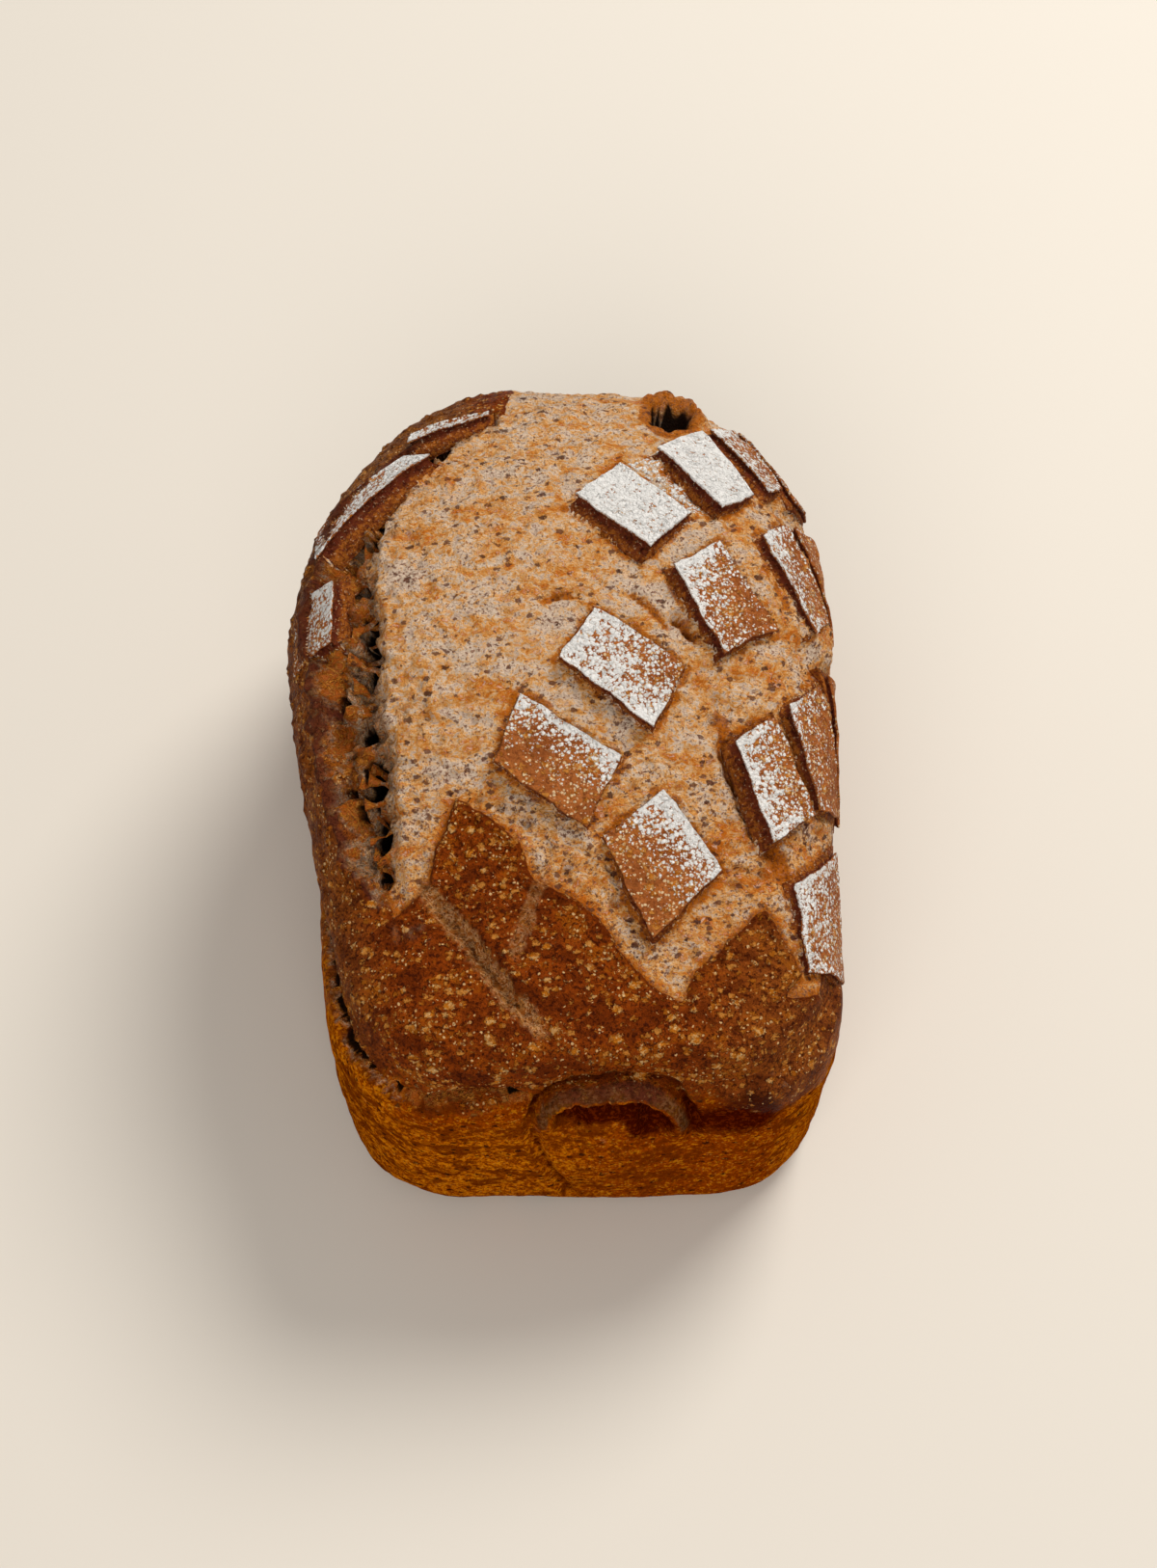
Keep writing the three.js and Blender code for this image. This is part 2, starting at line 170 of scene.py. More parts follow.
# ---------- what baking did to the skin ----------
# The dough tore where the blade had weakened it. Lines on the loaf say where: the crack with its ear on
# the left, the edge of the crust that stayed whole, cuts and splits, the tear at the rim, and the coil of
# rolled dough in the end walls. Sizes are in millimetres.

CRACK = [
    (-42, -55), (-44.5, -40), (-46, -22), (-47.5, -4), (-49, 14),
    (-49, 28), (-45.5, 41), (-38, 53.5), (-28.5, 64.5), (-16, 73),
]
CRACK_DEPTH = 10.0
# Where the dome's torn flank begins and ends, across the crack's line.
DOME_FLANK = (-5.5, 2.0)
# From the crack's line to the ear's lip, as share of the crack's length and millimetres.
EAR_REACH = [(0, 1.5), (0.11, 6), (0.22, 9), (0.33, 11), (0.5, 10.6), (0.66, 8.2), (0.8, 6), (1, 3)]
EAR_RISE = 2.5
EAR_BACK = 6.0
# Clumps of dough that stayed up in the crack, and the deepest holes, as x, y and their half widths.
CLUMPS = [
    (-49, -18, 3.4, 4.5), (-51, 17, 3.6, 4.5), (-47, 38, 3.8, 5), (-55.5, 5, 2.6, 5.5),
    (-44.5, -42, 2.6, 2.6), (-52, -8, 3, 3), (-50, 28, 3.4, 3.4), (-51, -30, 3, 3.6), (-52, 9, 2.4, 2.4),
]
PITS = [
    (-48.5, 11, 2.6, 5), (-46.8, 3, 2.4, 4.4), (-55.2, -5, 1.0, 5.5), (-54, -27, 0.9, 3),
    (-47, -24, 2.4, 5), (-45.5, -36, 2.4, 4.6), (-44.2, -46, 1.8, 3), (-46.3, 40, 2.2, 5),
    (-42.5, 47, 2.2, 5), (-37, 55, 1.8, 4), (-49, -13, 1.8, 3), (-51, 23, 1.8, 3),
    (-48.5, 34, 2, 3), (-50, -29, 1.4, 2.6), (-31, 62.5, 1.6, 4), (-53, 30, 1.4, 2.4),
]
PIT_DEPTH = 9.0
# The edge of the crust that stayed whole, from the crack's near end to the right side.
CRUST_EDGE = [
    (-42, -55), (-34, -49), (-33, -43), (-28, -30), (-19, -36), (-14, -41), (-11, -49),
    (-7, -51), (-1, -54), (4, -59), (8, -65), (14, -72), (21, -76), (24, -69),
    (40, -54), (47, -68), (43, -74), (52, -70), (62, -66), (80, -66),
]
CRUST_RISE = 1.5
CRUST_CURL = 0.7
# Pale skin between two tiles that caught flour.
DUSTED = [(12, 53), (20, 59), (35, 40), (28, 36)]
# The two blade cuts and the splits, as depth, half width and line.
CUTS = {
    "slash": (4.2, 3.0, [(-35, -49), (-28, -58), (-21, -68), (-16, -75), (-10, -82)]),
    "right_tear": (3.5, 3.2, [(31, -11), (33, -22), (38, -34), (43, -43), (47, -49)]),
    "faint": (0.9, 2.6, [(-9, -48), (-12, -56), (-15, -65)]),
    "left_split": (1.5, 1.5, [(-9, 13), (-4, 15), (1, 14)]),
    "middle_split": (1.5, 1.5, [(11, 16), (16, 12), (21, 6)]),
    "right_split": (2.4, 1.4, [(22, 10), (24, 7), (27, 3)]),
}
CAVITY = {"x": 24, "y": 74.5, "half_width": 5, "half_length": 7.5, "depth": 11, "lip": 2.6}
RIM_TEAR = {
    "line": [
        (-59, -22, 64), (-58.5, -36, 63), (-58, -49, 63), (-56.5, -65, 62), (-53.5, -77, 61),
        (-47, -86, 60), (-39, -92, 61), (-29, -94, 63), (-19, -95, 65), (-13, -95, 62), (-8, -95, 58),
    ],
    "depth": 5.0,
    "half_width": 2.5,
}
RIM_CREASE_Z = 64.0
# Where the burst skin of the right side lies lower between the tiles, as y, depth and half width.
SIDE_HOLLOWS = [(47, 1.6, 6), (5, 3.0, 8), (-37, 0.8, 6)]
# The arch and the seam of the coil in the end walls, as x and z.
COIL_ARCH = [
    (-12, 46), (-11.5, 56), (-9, 62), (-4, 65.5), (5.5, 66.5),
    (14, 65.5), (19.5, 62), (22.5, 54), (23, 44), (22, 34),
]
COIL_SEAM = [(-12, 47), (-11, 38), (-8, 24), (-3, 6)]
COIL_MIDDLE = (5.5, 40)
# The swelling under the coil, and the place beside it that gets painted shade, as x, z and half width.
COIL_BELLY = (6, 32, 22)
SHADED_BESIDE_COIL = (36, 51, 21)
# Holes that stand out in the pale skin, as place and radius.
HOLES = [
    (-23, -31, 0.9), (-18, -33, 1.1), (-15, -34, 0.8), (-12, -37, 1.2), (-4, -48, 1.2),
    (7, -54, 1.3), (22, 9, 1.5), (25, 6, 1.2), (-30, 20, 0.9), (-12, 34, 1.0),
    (-34, -12, 0.9), (30, -14, 1.2), (40, -47, 1.3), (24, -66, 1.1),
]

lattice = np.random.default_rng(11).normal(size=(4096, 3))
lattice /= np.linalg.norm(lattice, axis=1, keepdims=True)


def hashed(cell):
    """A number from 0 to 4095 that is always the same for one cell of space."""
    return (cell[:, 0] * 73856093 ^ cell[:, 1] * 19349663 ^ cell[:, 2] * 83492791) & 4095


def noise(points, size, seed=0):
    """Smooth noise from about -0.7 to 0.7, with bumps about "size" millimetres apart."""
    scaled = points / size + seed * 17.31
    cell = np.floor(scaled).astype(np.int64)
    within = scaled - cell
    eased = within**3 * (within * (within * 6 - 15) + 10)
    total = np.zeros(len(points))
    for corner in np.ndindex(2, 2, 2):
        towards = ((within - corner) * lattice[hashed(cell + corner)]).sum(axis=1)
        total += towards * np.prod(np.where(corner, eased, 1 - eased), axis=1)
    return total


def spots(points, size, seed=0):
    """Distance to the nearest of scattered spots about "size" apart, and that spot's random number."""
    scaled = points / size + seed * 9.7
    cell = np.floor(scaled).astype(np.int64)
    nearest = np.full(len(points), 9.0)
    number = np.zeros(len(points))
    for shift in np.ndindex(3, 3, 3):
        other = cell + np.array(shift) - 1
        pick = hashed(other)
        distance = np.linalg.norm(scaled - other - 0.5 - 0.45 * lattice[pick], axis=1)
        closer = distance < nearest
        nearest = np.where(closer, distance, nearest)
        number = np.where(closer, (pick * 0.6180339) % 1, number)
    return nearest * size, number


def rounded(knots, steps=8):
    """A smooth line through the knots."""
    knots = np.array(knots, dtype=float)
    ends = np.vstack([2 * knots[0] - knots[1], knots, 2 * knots[-1] - knots[-2]])
    line = []
    for p0, p1, p2, p3 in zip(ends, ends[1:], ends[2:], ends[3:]):
        for t in np.arange(steps) / steps:
            bend = (2 * p0 - 5 * p1 + 4 * p2 - p3) * t**2 + (3 * p1 - p0 - 3 * p2 + p3) * t**3
            line.append(p1 + 0.5 * ((p2 - p0) * t + bend))
    return np.array(line + [knots[-1]])


def near_line(points, line):
    """Distance to a line, the side of it (left is positive), and the share of the line before the point."""
    distance = np.full(len(points), 1e9)
    side = np.ones(len(points))
    share = np.zeros(len(points))
    for index, (start, end) in enumerate(zip(line, line[1:])):
        along = end - start
        off = points - start
        t = np.clip(off @ along / (along @ along), 0, 1)
        reach = np.linalg.norm(off - t[:, None] * along, axis=1)
        closer = reach < distance
        turn = along[0] * off[:, 1] - along[1] * off[:, 0]
        distance = np.where(closer, reach, distance)
        side = np.where(closer, np.where(turn >= 0, 1, -1), side)
        share = np.where(closer, (index + t) / (len(line) - 1), share)
    return distance, side, share


def inside_by(outline, x, y):
    """How far points lie inside an outline; negative outside."""
    loop = np.array(outline + outline[:1], dtype=float)
    distance, _, _ = near_line(np.column_stack([x, y]), loop)
    within = np.zeros(len(x), dtype=bool)
    for (ax, ay), (bx, by) in zip(loop, loop[1:]):
        if ay != by:
            within ^= ((ay > y) != (by > y)) & (x < ax + (bx - ax) * (y - ay) / (by - ay))
    return np.where(within, distance, -distance)


def groove(points, line, half_width, seed):
    """How much of a ragged groove's depth is reached, from 0 outside it to 1 at its bottom."""
    distance, _, share = near_line(points, line)
    wander = 0.6 * noise(pad(points), 4, seed) + 0.35 * noise(pad(points), 1.6, seed + 20)
    ragged = np.maximum(distance + half_width * wander, 0)
    return mound(ragged, half_width) * np.sqrt(mound(2 * share - 1, 1.15))


def pad(points):
    """Flat points with a height of 0."""
    return points if points.shape[1] == 3 else np.column_stack([points, np.zeros(len(points))])


crack_line = rounded(CRACK)
crust_outline = [(-13, 120)] + CRACK[::-1] + CRUST_EDGE[1:] + [(80, -130), (-130, -130), (-130, 120)]
rim_tear_line = settled(rounded(RIM_TEAR["line"]), 5)
MARKS = ("crust", "tin", "torn", "cut", "painted_shade", "lip", "flour", "foot", "tile", "toast", "bran", "golden_and_lit")


def bake(points, normals):
    """The baked surface over points of the plain skin, marks for what its places are made of, and a mark for
    painted shade.

    Heights are millimetres along the normals. A noise call gives its bumps' size and a number of its own.
    """
    x, y, z = points.T
    flat = points[:, :2]
    marks = {}
    over_rim = smoothstep(RIM_Z - 12, RIM_Z - 2, z)
    over_foot = smoothstep(0, 10, z)
    near_end = smoothstep(-20, -35, y)

    # The whole loaf is a little uneven.
    height = 0.5 * np.sin(x / 17 + y / 29) * np.sin(y / 23 - z / 31 + 1.3)
    height += 0.35 * np.sin(x / 11 - y / 13 + z / 19)
    height += 0.8 * noise(points, 16, 1) + 0.5 * noise(points, 8, 20)

    # The crack: down the dome's torn flank, then up the ear's ragged inner face to its lip. "Across" counts
    # from the crack's line towards the ear, and "inner" is 1 at the ear's lip.
    distance, side, share = near_line(flat, crack_line)
    loose = smoothstep(0, 0.1, share) * (1 - 0.5 * smoothstep(0.6, 1, share))
    wander = 2.4 * noise(points, 10, 2) + 2.2 * noise(points, 4.5, 3) + 1.3 * noise(points, 2, 35)
    across = side * distance + loose * wander
    opened = smoothstep(0, 0.14, share) * (1 - 0.3 * smoothstep(0.55, 0.95, share))
    opened *= 1 - smoothstep(0.96, 1, share)
    clump = np.zeros(len(points))
    for clump_x, clump_y, half_x, half_y in CLUMPS:
        off = np.hypot((x - clump_x) / half_x, (y - clump_y) / half_y) + 0.5 * noise(points, 2.5, 55)
        clump = np.maximum(clump, mound(np.maximum(off, 0), 1.2))
    pit = np.zeros(len(points))
    for pit_x, pit_y, half_x, half_y in PITS:
        off = np.hypot((x - pit_x) / half_x, (y - pit_y) / half_y) + 0.5 * noise(points, 2.2, 56)
        pit = np.maximum(pit, 1 - smoothstep(0.6, 1.2, off))
    depth = CRACK_DEPTH * opened
    rise = EAR_RISE * (0.5 + 0.5 * opened + 0.4 * noise(points, 4, 50)) * smoothstep(0, 0.1, share)
    rise *= 1 - smoothstep(0.7, 0.95, share)
    lip = np.interp(share, *zip(*EAR_REACH)) * (1 + 0.15 * noise(points, 6, 54))
    inner = across / lip
    slit = mound(inner - 0.62, 0.34) * smoothstep(0.62, 0.7, share) * (1 - smoothstep(0.94, 1, share))
    pit = np.maximum(pit, slit * smoothstep(-0.3, -0.05, noise(points, 6, 67)))
    flank = DOME_FLANK[0] * (1 - 0.55 * smoothstep(0.5, 0.7, share))
    fallen = np.clip((across - flank) / (DOME_FLANK[1] - flank), 0, 1) ** 1.5
    web = noise(points, 4.5, 36) + 0.6 * noise(points * [0.5, 1, 1], 2, 61)
    ridge = np.clip(0.35 + 0.9 * web, 0, 0.8) * mound(inner - 0.5, 0.45)
    face = smoothstep(0.62, 1.0, inner)
    ear_back = rise * (1 - smoothstep(0, 1, (across - lip) / EAR_BACK))
    hollow = -depth * fallen * (1 - ridge) * (1 - 0.75 * clump)
    crack = np.where(across < lip, hollow * (1 - face) + rise * face, ear_back) * over_rim
    in_crack = opened * smoothstep(-3.5, -1.5, across) * (1 - smoothstep(0.88, 0.96, inner))
    crack -= PIT_DEPTH * pit * in_crack
    height += crack
    torn_depth = 4 * smoothstep(0.3, 0.6, inner) * opened - crack + 2 * noise(points, 8, 71)
    torn_depth += 3.6 * noise(points, 3, 37)
    torn_depth += 1.2 * noise(points, 1.3, 60)
    frayed = inner + 0.2 * noise(points, 3, 63) + 0.1 * noise(points, 1.2, 64)
    crack_torn = smoothstep(0.2, 3.6, torn_depth)
    crack_torn *= 1 - smoothstep(0.84, 0.9, frayed)
    crack_torn *= smoothstep(-12, -7, across)
    ear_band = mound(inner - 1.02, 0.2) * smoothstep(0.0, 0.05, share) * (1 - smoothstep(0.85, 0.95, share))

    # The old crust stands a little over the pale skin, and curls up along its edge.
    crust = inside_by(crust_outline, x, y) + 1.0 * noise(points, 5, 4) + 0.5 * noise(points, 2, 5)
    crust += 7 * smoothstep(72, 88, y) * noise(points, 14, 65)
    far_fade = 1 - 0.8 * smoothstep(45, 70, y)
    curl = CRUST_CURL * near_end * mound(crust - 1.2, 1.6)
    height += over_rim * (CRUST_RISE * far_fade * smoothstep(-0.3, 0.8, crust) + curl)

    # Cuts, the cavity, and the tear at the rim.
    cut_marks = np.zeros(len(points))
    split_marks = np.zeros(len(points))
    for seed, (name, (cut_depth, half_width, line)) in enumerate(CUTS.items()):
        shape = over_rim * groove(flat, rounded(line), half_width, 60 + seed)
        height -= cut_depth * shape
        if name in ("slash", "faint"):
            cut_marks = np.maximum(cut_marks, smoothstep(0.1, 0.3, shape) * (1 if name == "slash" else 0.5))
        else:
            split_marks = np.maximum(split_marks, shape)
    reach = np.hypot((x - CAVITY["x"]) / CAVITY["half_width"], (y - CAVITY["y"]) / CAVITY["half_length"])
    reach = reach + 0.5 * noise(points, 5, 8)
    outer = smoothstep(-4, 6, y - CAVITY["y"] + x - CAVITY["x"])
    cavity_shape = over_rim * (1 - smoothstep(0.35, 1.2, reach))
    crest = CAVITY["lip"] * (1 + 0.9 * noise(points, 3.4, 58)) * mound(reach - 1.3, 0.5) * outer
    height += over_rim * crest - CAVITY["depth"] * cavity_shape
    shifted = points + 1.2 * noise(points, 5, 38)[:, None]
    rim_shape = groove(shifted, rim_tear_line, RIM_TEAR["half_width"], 66)
    wavy = RIM_CREASE_Z + 2 * np.sin(x / 13 + 1) + 1.5 * np.sin(y / 21)
    height -= RIM_TEAR["depth"] * rim_shape + 1.4 * mound(z - wavy, 5) * over_foot
    for hollow_y, hollow_depth, half_width in SIDE_HOLLOWS:
        lower = hollow_depth * mound(y - hollow_y, half_width) * smoothstep(40, 54, x)
        height -= lower * smoothstep(50, 66, z)

    # The coil in the end walls: a roll, the groove outside it, the hollow that it arches over with the belly
    # below, and the seam that runs down from it.
    facing_end = np.abs(normals[:, 1]) / np.maximum(np.hypot(normals[:, 0], normals[:, 1]), 1e-6)
    on_end = smoothstep(0.8, 0.97, facing_end) * (1 - smoothstep(RIM_Z - 5, RIM_Z + 2, z)) * over_foot
    wall = np.column_stack([x, z])
    distance, side, share = near_line(wall, rounded(COIL_ARCH))
    turn = np.arctan2(x - COIL_MIDDLE[0], z - COIL_MIDDLE[1])
    radial = np.column_stack([turn * 24, distance * 0.2, 0 * x])
    over = side * distance + 1.5 * noise(points, 7, 10) + 0.7 * noise(radial, 1.6, 39)
    strength = smoothstep(0, 0.12, share) * (1 - smoothstep(0.75, 1, share)) * on_end
    seam, _, _ = near_line(wall, rounded(COIL_SEAM))
    seam = seam + 0.8 * noise(points, 4, 41)
    shut = 0.45 + 0.55 * np.abs(2 * share - 1)
    roll = 2.8 * mound(over + 2.8, 3.6) - 3.6 * shut * mound(over - 0.8, 1.8) - 4.6 * mound(over + 8.0, 4.2)
    coil = strength * roll
    coil += strength * 1.3 * noise(radial, 1.4, 42) * mound(over + 3, 4)
    belly_x, belly_z, belly_reach = COIL_BELLY
    belly = mound(np.hypot(x - belly_x, (z - belly_z) * 0.9), belly_reach)
    coil += on_end * (2.4 * belly - 2.0 * mound(seam, 2.4))
    height += coil

    # What each place is made of, and where shade is painted.
    spread = 3 + 9 * smoothstep(22, 48, x) + 7 * noise(points, 9, 12) + 4 * noise(points, 3, 43)
    marks["tin"] = 1 - smoothstep(-3, 3, z - wavy + spread)
    marks["crust"] = 0.5 + np.clip(crust, -5, 5) / 10
    marks["crust"] = np.maximum(marks["crust"], 1 - over_rim)
    is_crust = smoothstep(0.48, 0.54, marks["crust"])
    rim_torn = smoothstep(0.3, 0.6, rim_shape + 0.5 * noise(points, 3.5, 44) + 0.4 * noise(points, 1.6, 59))
    gaping = np.maximum(smoothstep(-46, -54, x), 0.8 * smoothstep(0.0, 0.3, noise(points, 5, 68)))
    rim_gap = rim_shape * gaping
    marks["torn"] = np.clip(over_rim * crack_torn + (cavity_shape > 0.12) + rim_torn, 0, 1)
    marks["cut"] = cut_marks
    marks["flour"] = 0.7 * smoothstep(-1.5, 1.5, inside_by(DUSTED, x, y))
    # Painted shade: the coil's hollow, the groove outside it and its seam, the place beside it, the cavity,
    # the deep parts of the crack with its pits, and the gaps of the rim tear are painted dark.
    shaded_x, shaded_z, shaded_reach = SHADED_BESIDE_COIL
    painted_shade = 1.9 * strength * mound(over + 9.5, 7.5) + strength * shut * mound(over - 1.0, 2.2)
    painted_shade = on_end * (painted_shade + 0.7 * mound(seam, 1.4))
    painted_shade += on_end * 1.1 * mound(np.hypot((x - shaded_x) * 0.8, (z - shaded_z) * 1.3), shaded_reach)
    painted_shade += 6 * cavity_shape
    painted_shade += over_rim * crack_torn * (0.35 * smoothstep(3, 8, -crack) + smoothstep(10, 16, -crack))
    painted_shade += 1.5 * pit * in_crack
    painted_shade += 1.3 * smoothstep(0.2, 0.6, rim_gap)
    marks["painted_shade"] = np.clip(painted_shade, 0, 1)
    marks["lip"] = np.maximum(strength * mound(over + 1.6, 2.4), over_rim * ear_band)
    toast = smoothstep(0.1, 0.5, split_marks) + 0.8 * mound(crust, 2.2) * near_end
    toast += 1.3 * smoothstep(0.62, 0.86, inner + 0.35 * noise(points, 3.5, 69)) * crack_torn
    toast += clump * crack_torn
    toast += 0.3 * smoothstep(25, 58, x)
    toast += over_rim * mound(reach - 1.2, 0.6)
    toast += 0.9 * rim_torn
    toast += 0.7 * on_end * smoothstep(36, 60, z) * smoothstep(5, -25, x)
    toast += 0.9 * on_end * smoothstep(-25, 30, x)
    marks["toast"] = np.clip(toast, 0, 1)
    golden_and_lit = smoothstep(15, 50, y) * smoothstep(-20, -30, x) + 0.6 * smoothstep(-40, -56, x)
    # Painted light: the near end's crust is made more golden towards the right, where the window light falls.
    golden_and_lit += 0.5 * near_end * smoothstep(15, 48, x)
    marks["golden_and_lit"] = np.clip(golden_and_lit, 0, 1)
    marks["bran"] = np.clip(smoothstep(-8, -45, y) + 0.4 * smoothstep(20, 50, x), 0, 1)

    # Bran, stretch marks, pores and holes in the skin, blisters on the crust, and the torn crumb's ridges
    # and pockets, which are deeper the deeper the tear is.
    skin = over_rim * (1 - is_crust) * (1 - marks["torn"])
    folds = np.maximum(0, 1 - 7 * np.abs(noise(points * [0.7, 1, 1], 7, 53)))
    uneven = 0.9 * noise(points * [0.6, 1, 1], 1.7, 13) + 0.8 * noise(points, 3.4, 14) + 0.5 * folds
    height += skin * uneven
    pore, number = spots(points, 3.6, 45)
    height -= skin * (number > 0.5) * 0.8 * mound(pore, 0.9 + 0.7 * number)
    for hole_x, hole_y, radius in HOLES:
        height -= over_rim * 1.7 * radius * mound(np.hypot(x - hole_x, y - hole_y), radius * 1.5)
    spot, number = spots(points, 3.0, 15)
    blister = (number > 0.35) * mound(spot, 0.9 + 1.0 * number)
    height += over_rim * is_crust * (0.7 * blister + 0.6 * noise(points, 2.2, 16))
    crumb = 1 - 2.6 * np.abs(noise(points * [0.6, 1, 1], 3.2, 17))
    pocket, number = spots(points, 4.6, 46)
    in_depth = smoothstep(-3, 3.5, -crack + CAVITY["depth"] * cavity_shape + RIM_TEAR["depth"] * rim_shape)
    pocket_depth = 2.6 * (number > 0.4) * mound(pocket, 2.0)
    rough = 1.6 * crumb + 2.0 * noise(points * [0.6, 1, 1], 1.4, 18) - pocket_depth
    height += marks["torn"] * in_depth * (1 - smoothstep(0.02, 0.3, cavity_shape)) * rough
    # Painted shade: the deepest pockets in the torn crumb are painted dark.
    shaded_pocket = marks["torn"] * in_depth * smoothstep(1.2, 3.0, pocket_depth) * 0.8
    marks["painted_shade"] = np.maximum(marks["painted_shade"], shaded_pocket)
    height += (1 - over_rim) * over_foot * (0.3 * noise(points, 2.6, 19) + 0.25 * noise(points, 6, 47))
    return points + normals * height[:, None], marks


# ---------- the loaf's body as a mesh ----------
# A box of squares, drawn out from the heart of the loaf until it lies on the baked surface.
# The squares are smallest over the crack and on the near end wall.

# Runs of squares as start, end and number, in millimetres from the heart's column, and up from the floor.
ACROSS = [(-60, -36, 46), (-36, 60, 104)]
ALONG = [(-95, -86, 11), (-86, 90, 190), (90, 95, 4)]
ROWS = [(104, 80, 17), (80, 54, 26), (54, 7, 24), (7, -9, 6)]


def places(runs):
    """Where the edges of the squares lie."""
    found = [runs[0][0]]
    for start, end, squares in runs:
        found.extend(np.linspace(start, end, squares + 1)[1:])
    return np.array(found)


def stored(points):
    """Millimetres round the tin's axis as metres in the part's frame."""
    return (points + [TIN_AXIS[0], TIN_AXIS[1], 0]) / 1000


def give_marks(mesh, marks):
    """The marks as numbers on the mesh's corners, and "known" where they hold."""
    for name in (*MARKS, "known"):
        values = np.broadcast_to(marks.get(name, 0.0), len(mesh.vertices)).astype(np.float32)
        mesh.attributes.new(name, "FLOAT", "POINT").data.foreach_set("value", values)


def read(data, name, width=1):
    values = np.empty(len(data) * width, dtype=np.float32)
    data.foreach_get(name, values)
    return values.reshape(-1, width).astype(float) if width > 1 else values.astype(float)


def as_mesh(shape, name):
    bmesh.ops.recalc_face_normals(shape, faces=shape.faces[:])
    mesh = bpy.data.meshes.new(name)
    shape.to_mesh(mesh)
    shape.free()
    return mesh


columns, lengths, rows = places(ACROSS), places(ALONG), places(ROWS)
box = bmesh.new()
bmesh.ops.create_cube(box, size=2)
for axis, count in enumerate((len(columns), len(lengths), len(rows))):
    along_axis = [e for e in box.edges if abs((e.verts[0].co - e.verts[1].co)[axis]) > 1]
    bmesh.ops.subdivide_edges(box, edges=along_axis, cuts=count - 2)
low = [f for f in box.faces if all(v.co.z < -0.999 for v in f.verts)]
bmesh.ops.delete(box, geom=low, context="FACES")
bmesh.ops.edgeloop_fill(box, edges=[e for e in box.edges if e.is_boundary])
body_mesh = as_mesh(box, "loaf")

on_box = read(body_mesh.vertices, "co", 3)
column, length, row = (
    np.rint((on_box[:, axis] + 1) / 2 * (len(steps) - 1)).astype(int)
    for axis, steps in enumerate((columns, lengths, rows))
)
towards = np.column_stack([columns[column], lengths[length], rows[::-1][row] - HEART_Z])
towards /= np.linalg.norm(towards, axis=1, keepdims=True)
plain = comes_out(towards)
baked, body_marks = bake(plain, outward(plain))
foot = row == 0
level = towards[foot] * [1, 1, 0]
level /= np.linalg.norm(level, axis=1, keepdims=True)
baked[foot] = comes_out(level, lambda p: wall_distance(p[:, 0], p[:, 1], 0) + FOOT_R) * [1, 1, 0]
baked[:, 2] = np.maximum(baked[:, 2], 0)
body_mesh.vertices.foreach_set("co", stored(baked).astype(np.float32).ravel())
loaf = bpy.data.objects.new("loaf_visual", body_mesh)
bpy.context.scene.collection.objects.link(loaf)


# ---------- crust tiles ----------
# Pieces of the old floured crust between the blade's cuts, lifted off the swelling dough.
# Each is a curved slab with a thin curled lip, over a torn brown wall that runs down into the skin.

# Starting squares across and along each tile's top.
TILE_SQUARES = (20, 17)
# Down a tile's edge: how far out, as a share of the side's slope and in millimetres, and how high, as a
# share of the tile's height and in millimetres.
TILE_PROFILE = [
    (0, 0.18, 1, -0.3), (0, 0.12, 1, -0.7), (0, -0.4, 1, -1.1), (0.35, -0.3, 0.55, -0.7),
    (0.7, 0, 0.25, -0.4), (1.1, 0.4, 0, -0.3), (1.1, 0.4, 0, -3),
]
